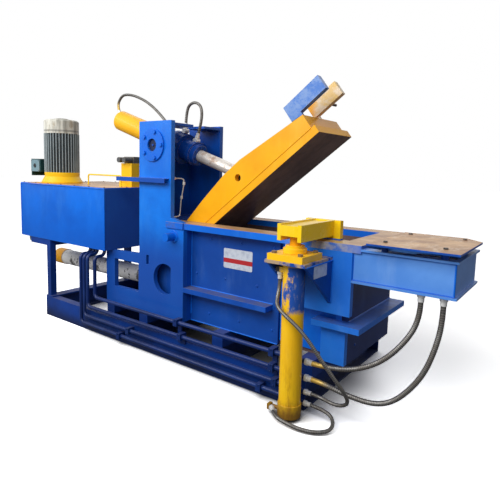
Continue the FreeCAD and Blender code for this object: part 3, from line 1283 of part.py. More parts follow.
pump = turned("pump_turned", [
    (0, pump_low), (s.pump_radius - s.bell_wall, pump_low),
    (s.pump_radius, pump_low + s.bell_wall), (s.pump_radius, s.tank_top), (0, s.tank_top)])
node(move(pump, s.motor_x, s.motor_y), "oil_pump")

valve_x = (s.valve_left, s.valve_left + s.valve_length)
valve_y = (s.valve_front, s.valve_front + s.valve_depth)
valve_top = s.tank_top + s.valve_height
node(fuse("manifold", [
    block("manifold_low", valve_x, valve_y, (s.tank_top, s.tank_top + s.valve_height * 0.36)),
    block("manifold_high", (valve_x[0] + s.bolt_across, valve_x[1]), valve_y,
          (s.tank_top + s.valve_height * 0.36, valve_top))]), "valve_manifold")
VALVES = 2
valve_pitch = (s.valve_length - s.bolt_across) / VALVES
valve_parts = []
for number in range(VALVES):
    middle = valve_x[0] + s.bolt_across + valve_pitch * (number + 0.5)
    valve_parts.append(block("valve_body_%d" % number, (middle - s.post_size / 2, middle + s.post_size / 2),
                             (valve_y[0] + s.bolt_across, valve_y[1] - s.bolt_across),
                             (valve_top, valve_top + s.post_size)))
    coil_z = valve_top + s.post_size / 2
    valve_parts.append(drum("valve_coil_%d" % number, s.post_size * 0.4, "y",
                            (valve_y[0] - s.post_size, valve_y[0] + s.bolt_across), middle, coil_z))
valve_sets = [fuse("valve_%d" % number, valve_parts[2 * number:2 * number + 2])
              for number in range(VALVES)]
node(group("valves", valve_sets), "solenoid_valves")

breather_head = s.tank_top + s.breather_neck
breather_top = s.tank_top + s.breather_height
filler_radius = s.bolt_across + s.bolt_shank
breather = turned("breather_turned", [
    (0, s.tank_top), (s.bolt_across, s.tank_top), (s.bolt_across, s.tank_top + s.bolt_head),
    (s.bolt_shank * 2, s.tank_top + s.bolt_head), (s.bolt_shank * 2, breather_head),
    (filler_radius, breather_head + s.bolt_gap), (filler_radius, breather_top - s.bolt_head),
    (s.bolt_across, breather_top), (0, breather_top)])
node(move(breather, s.motor_x - s.bell_radius, s.motor_y + s.bell_radius), "tank_breather")


# ---------------------------------------------------------------- rigid pipes, rail and hoses


def feature(label, shape, place=None):
    item = doc.addObject("Part::Feature", label + "_solid")
    item.Shape = shape
    item.Placement = place or Placement()
    return node(item, label)


rail_top = s.tank_top.value + s.rail_height.value
rail_y = s.rail_y.value
rail_route = [(s.rail_left.value, rail_y, s.tank_top.value), (s.rail_left.value, rail_y, rail_top),
              (s.rail_right.value, rail_y, rail_top), (s.rail_right.value, rail_y, s.tank_top.value)]
rail_solid, rail_length, rail_bend = tube(rail_route, 2 * s.rail_radius.value, 2 * s.bolt_across.value / 3)
feature("tank_rail", rail_solid)

PIPES = [("pipe_first", 341, -758), ("pipe_second", 240, -862),
         ("pipe_third", 149, -912), ("pipe_fourth", 77, -962)]
pipe_y = s.pipe_y.value
riser_y = s.tank_front.value + 2 * s.bolt_across.value
for label, height, riser in PIPES:
    route = [(s.pipe_end.value, pipe_y, height), (riser, pipe_y, height),
             (riser, pipe_y, s.pipe_head.value), (riser, riser_y, s.pipe_head.value),
             (riser, riser_y, s.tank_bottom.value)]
    pipe_solid, pipe_length, pipe_turn = tube(route, 2 * s.pipe_radius.value, s.pipe_bend.value)
    feature(label, pipe_solid)

CLAMPS = [(1109, (0, 1)), (1136, (2,)), (1017, (3,)), (250, (0,)), (290, (1,)), (-300, (2,)),
          (-420, (3,))]
clamp_reach = s.pipe_radius + s.clamp_wall
clamp_parts = []
for number, (x, carried) in enumerate(CLAMPS):
    heights = [PIPES[which][1] for which in carried]
    clamp_x = (x - s.clamp_half, x + s.clamp_half)
    low = min(heights)
    foot = s.strap_foot if low > s.strap_foot.value else low - clamp_reach
    solids = [block("clamp_strap_%d" % number, clamp_x, (s.base_front - s.base_web, s.base_front),
                    (foot, max(heights)))]
    passages = []
    for height in heights:
        tag = "%d_%d" % (number, height)
        solids.append(block("clamp_block_" + tag, clamp_x, (s.pipe_y - clamp_reach, s.base_front),
                            (height - clamp_reach, height + clamp_reach)))
        passages.append(drum("clamp_bore_" + tag, s.pipe_radius, "x", clamp_x, s.pipe_y, height))
    clamp_parts.append(cut("clamp_%d" % number, fuse("clamp_solid_%d" % number, solids), passages))
node(group("clamps", clamp_parts), "pipe_clamps")

LOCK_HOSES = [
    ("hose_lock_right", [(1350, -540, 240), (1460, -540, 240), (1620, -517, 200), (1766, -490, 185),
                         (1866, -470, 222), (1950, -450, 312), (2018, -430, 425),
                         (2058, -408, 560), (2076, -372, 690), (2076, -372, 842)]),
    ("hose_lock_left", [(1350, -540, 341), (1480, -540, 341), (1640, -520, 360), (1790, -480, 434),
                        (1900, -430, 560), (1957, -372, 690), (1957, -372, 842)]),
]
LIFTER_HOSES = [
    ("hose_lifter_top", [(1214, -648, 900), (1214, -650, 800), (1219, -680, 745),
                         (1245, -722, 705), (1310, -734, 668), (1385, -733, 625),
                         (1455, -722, 560), (1530, -700, 455), (1600, -660, 345),
                         (1645, -610, 255), (1650, -570, 190), (1615, -548, 148),
                         (1545, -540, 130), (1450, -540, 149), (1350, -540, 149)]),
    ("hose_lifter_low", [(1192, -661, 44), (1268, -736, 42), (1345, -733, 28), (1425, -731, 22),
                         (1510, -706, 20), (1569, -652, 22), (1578, -607, 32), (1560, -565, 48),
                         (1522, -541, 64), (1450, -540, 77), (1350, -540, 77)]),
]
lid_y = barrel_y.value
LID_HOSES = [
    ("hose_lid_rear", [(-950.5, 1947), (-1000, 2060), (-945, 2130), (-885, 2146), (-790, 2134),
                       (-695, 2106), (-600, 2066), (-515, 2016), (-440, 1962), (-375, 1907),
                       (-275, 1811)]),
    ("hose_lid_front", [(-112, 1796), (-100, 1970), (-50, 2020), (20, 2020), (70, 1970),
                        (66, 1860), (14, 1713)]),
]
LID_HOSES = [(label, [(x, lid_y, z) for x, z in route]) for label, route in LID_HOSES]
port_in = lift_x - s.lifter_radius / 2
port_y = lift_y - s.port_side / 3
top_port = block("top_port_block", (lift_x - s.top_port_reach, port_in),
                 (port_y - s.port_side / 2, port_y + s.port_side / 2),
                 (bracket_low - s.top_port_drop, bracket_low - s.top_port_drop / 2))
low_z_mid = s.lifter_low + s.low_port_side * 0.6
low_arm = drum("low_port_arm", s.low_port_side / 3, "x",
               (lift_x - s.low_port_reach + s.bolt_head, port_in), port_y + s.bolt_shank, low_z_mid)
low_elbow = block("low_port_block",
                  (lift_x - s.low_port_reach, lift_x - s.low_port_reach + s.bolt_shank * 2),
                  (port_y - s.low_port_side / 2, port_y + s.low_port_side / 2),
                  (low_z_mid - s.low_port_side / 2, low_z_mid + s.low_port_side / 2))
barrel_core = drum("port_barrel_core", s.lifter_radius, "z", (bracket_low - 2 * s.top_port_drop, bracket_low), lift_x, lift_y)
cap_core = drum("port_cap_core", cap_radius, "z", (s.lifter_low, s.lifter_low + s.lifter_cap),
                lift_x, lift_y)
node(group("port_set", [cut("top_port", top_port, [barrel_core]),
                        cut("low_port", fuse("low_port_solid", [low_arm, low_elbow]), [cap_core])]),
     "lifter_ports")
FERRULE = 46
hose_sets = ((LOCK_HOSES, s.lock_hose.value), (LIFTER_HOSES, s.lifter_hose.value),
             (LID_HOSES, s.lid_hose.value))
BANJO = 22
doc.recompute()
barrel_shape = doc.getObject("lid_barrel").Shape.fuse(doc.getObject("lid_gland_turned").Shape)
port_shape = doc.getObject("top_port").Shape.fuse(doc.getObject("low_port").Shape)
ferrules = {}
for routes, diameter in hose_sets:
    for label, route in routes:
        points = [Vector(*point) for point in route]
        sleeves = []
        if routes is LID_HOSES:
            for end, beside in ((0, 1), (-1, -2)):
                foot = points[end] - Vector(0, BANJO, 0)
                way = (points[beside] - points[end]).normalize()
                banjo = Part.makeCylinder(BANJO, 2 * BANJO, foot, Vector(0, 1, 0))
                flat = Part.makeBox(2 * BANJO, 2 * BANJO, BANJO)
                flat.Placement = Placement(points[end] + way * (BANJO - 4),
                                           Rotation(Vector(0, 0, 1), way)).multiply(
                                               Placement(Vector(-BANJO, -BANJO, 0), Rotation()))
                sleeves.append(banjo.cut(barrel_shape).cut(flat))
                points[end] = points[end] + way * (BANJO - 4)
        for end, beside in ((0, 1), (-1, -2)):
            way = (points[beside] - points[end]).normalize()
            nut = Part.makeCylinder(diameter / 2 + 7, FERRULE * 0.4, points[end], way)
            sleeve = Part.makeCylinder(diameter / 2 + 3, FERRULE * 0.6,
                                       points[end] + way * (FERRULE * 0.4), way)
            sleeves.append(nut.fuse(sleeve).removeSplitter().cut(port_shape))
            points[end] = points[end] + way * FERRULE
        hose, length, tightest = tube(points, diameter)
        print("%s length %.0f tightest radius %.0f volume ratio %.3f" % (
            label, length, tightest, hose.Volume / (math.pi * diameter * diameter / 4 * length)))
        feature(label, hose)
        ferrules[label] = sleeves
for label, names in (("ferrules_frame", ("hose_lock_right", "hose_lock_left",
                                         "hose_lifter_top", "hose_lifter_low")),
                     ("ferrules_lid", ("hose_lid_rear", "hose_lid_front"))):
    feature(label, Part.makeCompound([piece for name in names for piece in ferrules[name]]))

# ---------------------------------------------------------------- files: welded or alike pieces share one

SHARED = {
    "skid_rails": ("skid_near_rail", "skid_far_rail"),
    "skid_cross_beams": ("skid_cross_1", "skid_cross_2", "skid_cross_3", "skid_cross_4",
                         "skid_cross_5", "box_saddles"),
    "press_stiffeners": ("press_edge_bars", "box_near_ledge", "box_far_ledge", "hose_shelf"),
    "column_covers": ("column_cap", "column_back", "ram_roof"),
    "bearing_rings": ("trunnion_flange_near", "trunnion_flange_far", "hinge_boss"),
    "hexagon_bolts": ("trunnion_bolts", "lifter_bolts"),
    "lid_ribs": ("lid_clevis_near", "lid_clevis_far", "lid_rib_first", "lid_rib_second",
                 "lid_rib_third", "lid_end_rib", "lid_end_plate"),
    "lid_stops": ("lid_stop_near", "lid_stop_middle", "lid_stop_web_near",
                  "lid_stop_web_middle"),
    "lid_cylinder": ("lid_cylinder_barrel", "lid_cylinder_gland"),
    "box_liners": ("box_near_liner", "box_far_liner"),
    "box_corner_posts": ("box_post_plate", "box_low_post", "box_corner_post", "box_end_ledge"),
    "box_rim": ("box_near_rim", "box_far_rim", "box_end_rim", "box_rim_tongue"),
    "ram_cylinder": ("ram_cylinder_tube", "ram_cylinder_cap"),
    "lifter_mount": ("lifter_bracket", "lifter_gussets"),
    "lifter_cylinder": ("lifter_tube", "lifter_cap", "lifter_gland", "lifter_flange",
                        "lifter_ports"),
    "lifter_yoke": ("yoke_head", "yoke_side_bars", "yoke_cover", "yoke_cross_beam"),
    "lifter_plate": ("lifter_carrier", "lifter_foot"),
    "lock_frame": ("lock_frame_near", "lock_frame_far", "lock_frame_end", "lock_frame_tray"),
    "lock_frame_cover": ("lock_cover", "cover_spacers"),
    "lock_bar": ("lock_bolt", "lock_rod"),
    "tank_stand": ("tank_cradle", "tank_posts", "tank_foot_plate"),
    "tank_fittings": ("tank_breather", "tank_drain"),
    "terminal_case": ("terminal_box", "terminal_gland"),
    "motor_case": ("motor_frame", "fan_cowl"),
    "valve_stack": ("valve_manifold", "solenoid_valves"),
    "rigid_pipes": ("pipe_first", "pipe_second", "pipe_third", "pipe_fourth", "tank_rail"),
}
by_label = {item.Label: item for item in nodes}
for shared_label, members in SHARED.items():
    node(group(shared_label, [by_label[member] for member in members]), shared_label)
grouped = {member for members in SHARED.values() for member in members}
files = [item for item in nodes if item.Label not in grouped]

# ---------------------------------------------------------------- checks and files

doc.recompute()
faults = [item.Name for item in doc.Objects if {"Invalid", "Error"} & set(item.State)]
if faults:
    raise RuntimeError("failed objects: " + ", ".join(faults))
for item in nodes:
    if item.Shape.isNull() or not item.Shape.isValid() or not item.Shape.Solids:
        raise RuntimeError("bad shape: " + item.Label)
for item in files:
    item.Shape.exportStep("parts/%s.step" % item.Label)
print(len(files), "files from", len(nodes), "pieces and groups")
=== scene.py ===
import math

import bpy
from mathutils import Matrix, Vector


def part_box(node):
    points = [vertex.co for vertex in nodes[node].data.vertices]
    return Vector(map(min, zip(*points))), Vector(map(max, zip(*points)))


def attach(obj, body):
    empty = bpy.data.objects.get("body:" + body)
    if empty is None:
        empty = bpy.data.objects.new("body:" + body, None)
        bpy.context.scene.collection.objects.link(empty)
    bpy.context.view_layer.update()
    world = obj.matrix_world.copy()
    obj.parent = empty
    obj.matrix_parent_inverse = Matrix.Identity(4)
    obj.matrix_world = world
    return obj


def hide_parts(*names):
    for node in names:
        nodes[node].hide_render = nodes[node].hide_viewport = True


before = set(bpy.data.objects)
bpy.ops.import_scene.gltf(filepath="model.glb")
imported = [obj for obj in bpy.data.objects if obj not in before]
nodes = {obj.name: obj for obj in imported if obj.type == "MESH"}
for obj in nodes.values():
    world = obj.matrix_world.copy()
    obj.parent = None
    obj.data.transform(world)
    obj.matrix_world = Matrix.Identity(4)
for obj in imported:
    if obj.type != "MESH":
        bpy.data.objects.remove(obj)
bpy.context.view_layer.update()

# The dressed recycling baler. Metres, +X to the lock bolt, +Y away from the working side, +Z up.

# ---------------------------------------------------------------- camera and lamps

CAMERA_PLACE = (2.660, -2.940, 1.500)
CAMERA_TURN, CAMERA_DROP, CAMERA_ROLL = math.radians(36.234), math.radians(6.364), math.radians(1.547)
SENSOR_WIDTH = 36  # millimetres
PICTURE_WIDTH = 500  # pixels, as are the next two
FOCAL_LENGTH = 463.75
FRAME_DROP = 30

lens = bpy.data.cameras.new("photo_camera")
lens.sensor_width = SENSOR_WIDTH
lens.lens = SENSOR_WIDTH * FOCAL_LENGTH / PICTURE_WIDTH
lens.shift_y = -FRAME_DROP / PICTURE_WIDTH
lens.clip_end = 200
camera = bpy.data.objects.new("photo_camera", lens)
bpy.context.scene.collection.objects.link(camera)
camera.matrix_world = (Matrix.Translation(CAMERA_PLACE) @ Matrix.Rotation(CAMERA_TURN, 4, "Z")
                       @ Matrix.Rotation(math.pi / 2 - CAMERA_DROP, 4, "X")
                       @ Matrix.Rotation(CAMERA_ROLL, 4, "Z"))
bpy.context.scene.camera = camera
bpy.context.scene.view_settings.view_transform = "Standard"


def add_sun(name, towards, strength, spread):
    """A sun lamp that shines from the side that towards points to; spread is in degrees."""
    lamp = bpy.data.lights.new(name, "SUN")
    lamp.energy = strength
    lamp.angle = math.radians(spread)
    item = bpy.data.objects.new(name, lamp)
    item.rotation_euler = Vector(towards).to_track_quat("Z", "Y").to_euler()
    bpy.context.scene.collection.objects.link(item)


add_sun("key_lamp", (-0.30, -0.85, 0.60), 0.75, 60)
add_sun("back_lamp", (-0.35, 0.80, 0.95), 0.45, 50)

panel = bpy.data.lights.new("long_panel", "AREA")
panel.shape = "RECTANGLE"
panel.size, panel.size_y, panel.energy = 6.5, 1.8, 150
panel_lamp = bpy.data.objects.new("long_panel", panel)
panel_lamp.location = (-0.4, -3.0, 3.1)
panel_lamp.rotation_euler = Vector((0, -2.6, 2.0)).to_track_quat("Z", "Y").to_euler()
bpy.context.scene.collection.objects.link(panel_lamp)

# ---------------------------------------------------------------- finishes


def paint(red, green, blue):
    """A colour given as it shows on a screen, 0 to 255, in the linear form that the shader takes."""
    def linear(part):
        """One channel, by the curve that screens use."""
        part = part / 255
        return part / 12.92 if part < 0.04045 else ((part + 0.055) / 1.055) ** 2.4
    return (linear(red), linear(green), linear(blue), 1)


class Wire:
    """One output of a shader node. Arithmetic on it adds Math nodes."""

    def __init__(self, tree, socket):
        self.tree = tree
        self.socket = socket

    def math(self, operation, first, second=None, clamp=False):
        """The output of one Math node."""
        node = self.tree.nodes.new("ShaderNodeMath")
        node.operation = operation
        node.use_clamp = clamp
        for place, value in enumerate((first, second)):
            if isinstance(value, Wire):
                self.tree.links.new(value.socket, node.inputs[place])
            elif value is not None:
                node.inputs[place].default_value = value
        return Wire(self.tree, node.outputs[0])

    def __add__(self, other):
        return self.math("ADD", self, other)

    def __radd__(self, other):
        return self.math("ADD", other, self)

    def __sub__(self, other):
        return self.math("SUBTRACT", self, other)

    def __mul__(self, other):
        return self.math("MULTIPLY", self, other)

    def __rmul__(self, other):
        return self.math("MULTIPLY", other, self)

    def larger(self, other):
        return self.math("MAXIMUM", self, other)

    def sine(self):
        return self.math("SINE", self)

    def root(self):
        return self.math("SQRT", self)

    def size(self):
        """The value without its sign."""
        return self.math("ABSOLUTE", self)

    def clamped(self):
        """The value kept between 0 and 1."""
        return self.math("MULTIPLY", self, 1.0, clamp=True)


class Graph:
    """A node tree in the making."""

    def __init__(self, tree):
        self.tree = tree

    def add(self, kind, settings=(), inputs=(), out=0):
        """Adds a node of a kind: its settings first, then its sockets' values or links."""
        node = self.tree.nodes.new(kind)
        for key, value in dict(settings).items():
            setattr(node, key, value)
        for key, value in dict(inputs).items():
            if isinstance(value, Wire):
                self.tree.links.new(value.socket, node.inputs[key])
            else:
                node.inputs[key].default_value = value
        return Wire(self.tree, node.outputs[out])


class Finish(Graph):
    """A material in the making, with the patterns that the baler's surfaces are built from."""

    def __init__(self, name, roughness=0.45, metallic=0.0, coat=0.0, specular=0.22):
        self.material = bpy.data.materials.new(name)
        self.material.use_nodes = True
        super().__init__(self.material.node_tree)
        self.shader = self.tree.nodes["Principled BSDF"]
        self.set("Roughness", roughness)
        self.set("Metallic", metallic)
        self.set("Coat Weight", coat)
        self.set("Coat Roughness", 0.12)
        self.set("Specular IOR Level", specular)
        self.place = self.add("ShaderNodeTexCoord", out="Object")
        self.facing = self.add("ShaderNodeTexCoord", out="Normal")
        self.rounded = None

    def set(self, name, value):
        """Sets or links one socket of the shader."""
        socket = self.shader.inputs[name]
        if isinstance(value, Wire):
            self.tree.links.new(value.socket, socket)
        else:
            socket.default_value = value

    def axis(self, index, source=None):
        """One coordinate of the place, in metres, or of another vector."""
        return self.add("ShaderNodeSeparateXYZ", inputs={0: source or self.place}, out=index)

    def noise(self, scale, detail=4, rough=0.55, stretch=(1, 1, 1), shift=0.0):
        """Cloudy noise; stretch squeezes it along each axis, and shift picks another part of it."""
        place = self.add("ShaderNodeMapping", inputs={"Vector": self.place, "Scale": stretch,
                                                      "Location": (shift, shift * 0.7, shift * 1.3)})
        return self.add("ShaderNodeTexNoise",
                        inputs={"Vector": place, "Scale": scale, "Detail": detail, "Roughness": rough})

    def between(self, value, low, high):
        """0 where value is at low, 1 at high, smooth between; low may be above high."""
        return self.add("ShaderNodeMapRange", {"interpolation_type": "SMOOTHSTEP"},
                        {"Value": value, "From Min": low, "From Max": high})

    def blend(self, factor, first, second):
        """The colour first where factor is 0 and second where it is 1."""
        node = self.tree.nodes.new("ShaderNodeMix")
        node.data_type = "RGBA"
        for place, value in ((0, factor), (6, first), (7, second)):
            if isinstance(value, Wire):
                self.tree.links.new(value.socket, node.inputs[place])
            else:
                node.inputs[place].default_value = value
        return Wire(self.tree, node.outputs[2])

    def rounded_edges(self, radius):
        """Rounds the edges that light sees, and gives 1 on them and 0 on the flats."""
        self.rounded = self.add("ShaderNodeBevel", {"samples": 4}, {"Radius": radius}, "Normal")
        flat = self.add("ShaderNodeNewGeometry", out="Normal")
        same = self.add("ShaderNodeVectorMath", {"operation": "DOT_PRODUCT"},
                        {0: self.rounded, 1: flat}, "Value")
        return self.between(same, 0.995, 0.80)

    def bump(self, height, depth, strength=1.0):
        """Relief of a depth in metres, on top of the rounded edges if there are any."""
        inputs = {"Height": height, "Distance": depth, "Strength": strength}
        if self.rounded:
            inputs["Normal"] = self.rounded
        self.set("Normal", self.add("ShaderNodeBump", inputs=inputs, out="Normal"))


BLUE = paint(8, 114, 230)
BLUE_DEEP = paint(8, 84, 190)
BLUE_PALE = paint(74, 154, 238)
# NAVY is the blue paint as it looks in deep shade; the shaded copies of the blue paint and the lid cylinder's
# front use it as painted shade.
NAVY = paint(16, 40, 96)
YELLOW = paint(248, 178, 10)
YELLOW_DEEP = paint(228, 150, 8)
YELLOW_PALE = paint(255, 206, 72)
TAN = paint(206, 166, 122)
TAN_DARK = paint(150, 110, 78)
GRIME = paint(74, 62, 58)
DUST = paint(98, 100, 126)

MOTOR_X, MOTOR_Y = -1.713, -0.240


def from_motor(look):
    """The distance from the motor's upright axis."""
    x, y = look.axis(0) - MOTOR_X, look.axis(1) - MOTOR_Y
    return (x * x + y * y).root()


def painted_steel(name, main, deep, pale, gloss=0.34, dusty=0.35, layers=None):
    """Brushed-on machine paint: cloudy tone, brush and spray texture, dust on level faces, a few chips, and
    paler edges that are a painted highlight.

    layers(finish, colour) may lay more on top of the colour and returns the new one."""
    look = Finish(name, coat=0.12)
    edge = look.rounded_edges(0.003)
    cloud = look.noise(1.7, 5, 0.60)
    colour = look.blend(look.between(cloud, 0.66, 0.36) * 0.60, main, deep)
    sweep = look.noise(5.0, 6, 0.62, stretch=(1.2, 1.2, 0.35), shift=3.1)
    colour = look.blend(look.between(sweep, 0.50, 0.80) * 0.32, colour, pale)
    speck = look.between(look.noise(30, 6, 0.75, shift=12.0), 0.66, 0.74)
    colour = look.blend(speck * 0.22, colour, pale)
    up = look.axis(2, look.facing)
    level = look.between(up, 0.75, 0.98)
    powder = look.between(look.noise(9, 6, 0.7, shift=7.7), 0.34, 0.70)
    film = level * (0.45 + 0.55 * powder) * dusty
    colour = look.blend(film, colour, DUST)
    if layers:
        colour = layers(look, colour)
    chips = look.between(look.noise(46, 5, 0.75, shift=5.5) + edge * 0.16, 0.80, 0.84)
    colour = look.blend(chips * 0.7, colour, GRIME)
    # paler edges: a painted highlight
    colour = look.blend(edge * 0.30, colour, pale)
    look.set("Base Color", colour)
    look.set("Roughness", (gloss - 0.06 + 0.16 * cloud + 0.30 * film + 0.25 * chips).clamped())
    grain = look.noise(130, 3, 0.5, stretch=(1, 1, 0.6))
    waves = look.noise(7, 3, 0.5, shift=6.6)
    look.bump(grain * 0.12 + waves * 1.2 - chips * 0.2, 0.0016, 0.5)
    return look.material


def rim_layers(look, colour):
    """Bare primer on the level top, blue runs over its edge, yellow spray where the yoke was painted."""
    up = look.axis(2, look.facing)
    top = look.between(up, 0.80, 0.95)
    tone = look.between(look.noise(7, 6, 0.7, stretch=(0.4, 1.6, 1), shift=2.2), 0.32, 0.68)
    bare = look.blend(tone, TAN_DARK, TAN)
    scuff = look.between(look.noise(14, 7, 0.75, stretch=(0.3, 2.0, 1), shift=9.1), 0.55, 0.72)
    bare = look.blend(scuff * 0.55, bare, paint(222, 200, 172))
    colour = look.blend(top, colour, bare)
    x, y = look.axis(0), look.axis(1)
    across = look.between((x - 1.36).size(), 0.34, 0.06)
    near = look.between(y, -0.20, -0.34)
    spray = across * near * look.between(look.noise(9, 6, 0.65, shift=4.0), 0.36, 0.66)
    colour = look.blend(spray * 0.7, colour, paint(228, 212, 146))
    dirt = look.between(x, 0.30, -0.04) * look.between(look.noise(18, 6, 0.7, shift=1.0), 0.40, 0.64)
    return look.blend(dirt * 0.6, colour, paint(96, 90, 92))


def cover_layers(look, colour):
    """A cover plate: primer on its top with pale rubbed patches; below the top it keeps the blue it is given,
    which on the lock frame's cover is a deeper copy, painted shade.
    """
    up = look.axis(2, look.facing)
    top = look.between(up, 0.80, 0.95)
    tone = look.between(look.noise(5, 6, 0.7, shift=2.9), 0.35, 0.66)
    bare = look.blend(tone, TAN_DARK, TAN)
    rub = look.between(look.noise(10, 7, 0.75, stretch=(1, 0.4, 1), shift=6.4), 0.50, 0.70)
    bare = look.blend(rub * 0.6, bare, paint(226, 208, 184))
    return look.blend(top, colour, bare)


def tank_top_layers(look, colour):
    """Tank cover: primer with yellow spray in a ring round the bell housing."""
    colour = cover_layers(look, colour)
    ring = look.between(from_motor(look), 0.36, 0.19) * look.between(look.noise(20, 6, 0.7), 0.30, 0.58)
    return look.blend(ring, colour, YELLOW)


def lifter_layers(look, colour):
    """Blue overspray on the upper barrel, heavier on its right, and brown grime at the foot."""
    x, z = look.axis(0), look.axis(2)
    ragged = z + 0.10 * look.noise(9, 6, 0.7, shift=8.0)
    blue = look.between(ragged, 0.700, 0.735) * look.between(z, 0.955, 0.935)
    patch = look.between(look.noise(11, 6, 0.72, stretch=(1, 1, 0.5), shift=5.0)
                         + (x - 1.300) * 2.2, 0.40, 0.50)
    colour = look.blend(blue * patch, colour, paint(34, 82, 170))
    pale = look.between(look.noise(17, 6, 0.75, stretch=(1, 1, 0.4), shift=1.5), 0.54, 0.66)
    colour = look.blend(blue * pale * 0.6, colour, paint(150, 150, 156))
    streak = look.between(look.noise(9, 6, 0.7, stretch=(2.4, 2.4, 0.35), shift=3.3), 0.50, 0.66)
    colour = look.blend(streak * look.between(z, 0.62, 0.10) * 0.5, colour, paint(176, 112, 22))
    foot = look.between(z + 0.10 * look.noise(22, 5, 0.7), 0.20, 0.09)
    colour = look.blend(foot * 0.85, colour, paint(108, 72, 34))
    port = look.between(x, 1.226, 1.218) * look.between(z, 0.70, 0.80) * look.between(z, 0.955, 0.950)
    return look.blend(port, colour, paint(48, 46, 46))


def mount_layers(look, colour):
    """The lifter's bracket: yellow and primer spray on the edges of its top plate."""
    edge = look.between(look.axis(2), 0.957, 0.960)
    ragged = look.between(look.noise(16, 6, 0.7, shift=6.0), 0.42, 0.56)
    return look.blend(edge * ragged * 0.7, colour, paint(208, 176, 104))


def column_layers(look, colour):
    """The press side darkens below the box rim: painted shade that deepens downwards, and some dirt."""
    z = look.axis(2)
    low = look.between(z + 0.12 * look.noise(4, 5, 0.65, shift=2.0), 1.14, 0.78)
    return look.blend(low * 0.8, colour, paint(24, 68, 156))


def tank_layers(look, colour):
    """Oil tank: painted shade that deepens the side towards its foot, and a dull navy on the end face, which
    faces away from the light.
    """
    low = look.between(look.axis(2) + 0.10 * look.noise(3, 5, 0.6, shift=9.0), 1.18, 0.80)
    colour = look.blend(low * 0.55, colour, BLUE_DEEP)
    end = look.between(look.axis(0, look.facing), 0.8, 0.95)
    return look.blend(end * 0.6, colour, paint(52, 72, 120))


def skid_layers(look, colour):
    """Darker towards the skid's foot: painted shade near the floor, and floor dirt; the dust on its level
    tops is the paint's own dust film.
    """
    z = look.axis(2)
    foot = look.between(z + 0.08 * look.noise(14, 6, 0.7), 0.17, 0.03)
    return look.blend(foot * 0.75, colour, paint(18, 22, 36))


def lid_cylinder_layers(look, colour):
    """The front of the lid cylinder, between the column plates, is blue, darkened towards navy as painted
    shade; the barrel behind is yellow.
    """
    x = look.axis(0)
    front = look.between(x, -0.335, -0.325)
    # painted shade: the blue front darkened towards navy between the column plates
    colour = look.blend(front, colour, look.blend(look.noise(6, 4, 0.6), NAVY, BLUE_DEEP))
    tail = look.between(look.noise(8, 6, 0.7, stretch=(0.6, 1, 1)), 0.48, 0.66) * look.between(x, -0.5, -0.9)
    colour = look.blend(tail * 0.5, colour, YELLOW_DEEP)
    stub = look.between(look.axis(1).size(), 0.330, 0.345)
    return look.blend(stub, colour, paint(14, 30, 66))


def stop_layers(look, colour):
    """Near lid stop blue, the middle one yellow under pale scuffs."""
    y = look.axis(1)
    scuff = look.between(look.noise(12, 7, 0.75, stretch=(1, 1, 1.4), shift=3.9), 0.42, 0.60)
    pale = look.blend(scuff, paint(224, 196, 134), paint(232, 222, 202))
    high = look.between(look.axis(0), 1.02, 1.08)
    colour = look.blend(high * 0.8, colour, pale)
    return look.blend(look.between(y, -0.19, -0.20), colour,
                      look.blend(scuff * 0.40, paint(64, 116, 196), paint(158, 182, 214)))


def pipe_layers(look, colour):
    """The rail on the tank is yellow; the pipes below are blue."""
    return look.blend(look.between(look.axis(2), 1.285, 1.292), colour, paint(255, 212, 40))


def valve_layers(look, colour):
    """Cast valve bodies on the yellow manifold."""
    z = look.axis(2)
    cast = look.blend(look.noise(60, 3, 0.6), paint(58, 60, 62), paint(104, 106, 108))
    return look.blend(look.between(z, 1.5145, 1.5155), colour, cast)


def ram_cylinder_layers(look, colour):
    """Pale steel tube with a yellow rear cap."""
    x = look.axis(0)
    tube = look.blend(look.between(look.noise(6, 6, 0.7, stretch=(0.3, 1, 1)), 0.36, 0.62),
                      paint(226, 224, 220), paint(255, 253, 246))
    smear = look.between(look.noise(7, 6, 0.7, stretch=(1, 0.6, 0.6), shift=7.0), 0.56, 0.60)
    tube = look.blend(smear * 0.85, tube, paint(44, 40, 40))
    body = look.between(x, -2.02, -2.01)
    return look.blend(body, colour, tube)


def motor_layers(look, colour):
    """Bright fin edges over gaps darkened by painted shade; the fan cowl above is bare pressed metal, banded
    and smeared.
    """
    z = look.axis(2)
    # painted shade deep in the gaps between the fins
    fin_root_shade = look.between(from_motor(look), 0.166, 0.146)
    colour = look.blend(fin_root_shade * 0.9, colour, paint(40, 48, 52))
    cowl = look.blend(look.between(look.noise(9, 5, 0.65, stretch=(2, 2, 0.25)), 0.38, 0.62),
                      paint(158, 156, 146), paint(228, 226, 214))
    smear = look.between(look.noise(13, 6, 0.7, stretch=(1, 1, 0.5), shift=4.0), 0.52, 0.66)
    cowl = look.blend(smear * 0.6, cowl, paint(150, 128, 92))
    rib = look.between(z, 1.806, 1.812) * look.between(z, 1.830, 1.824)
    cowl = look.blend(rib * 0.55, cowl, paint(86, 86, 84))
    return look.blend(look.between(z, 1.790, 1.793), colour, cowl)


def bolt_layers(look, colour):
    """The bolts on the lifter's bracket are bare and rusty; those on the column are painted over."""
    rust = look.blend(look.noise(60, 5, 0.7), paint(84, 62, 44), paint(166, 140, 100))
    return look.blend(look.between(look.axis(0), 0.80, 0.90), colour, rust)


def yellow_rub(look, colour):
    """Rubbed yellow: darker runs in the coat."""
    runs = look.between(look.noise(6, 6, 0.7, stretch=(1.6, 1.6, 0.6), shift=4.4), 0.54, 0.74)
    return look.blend(runs * 0.35, colour, YELLOW_DEEP)


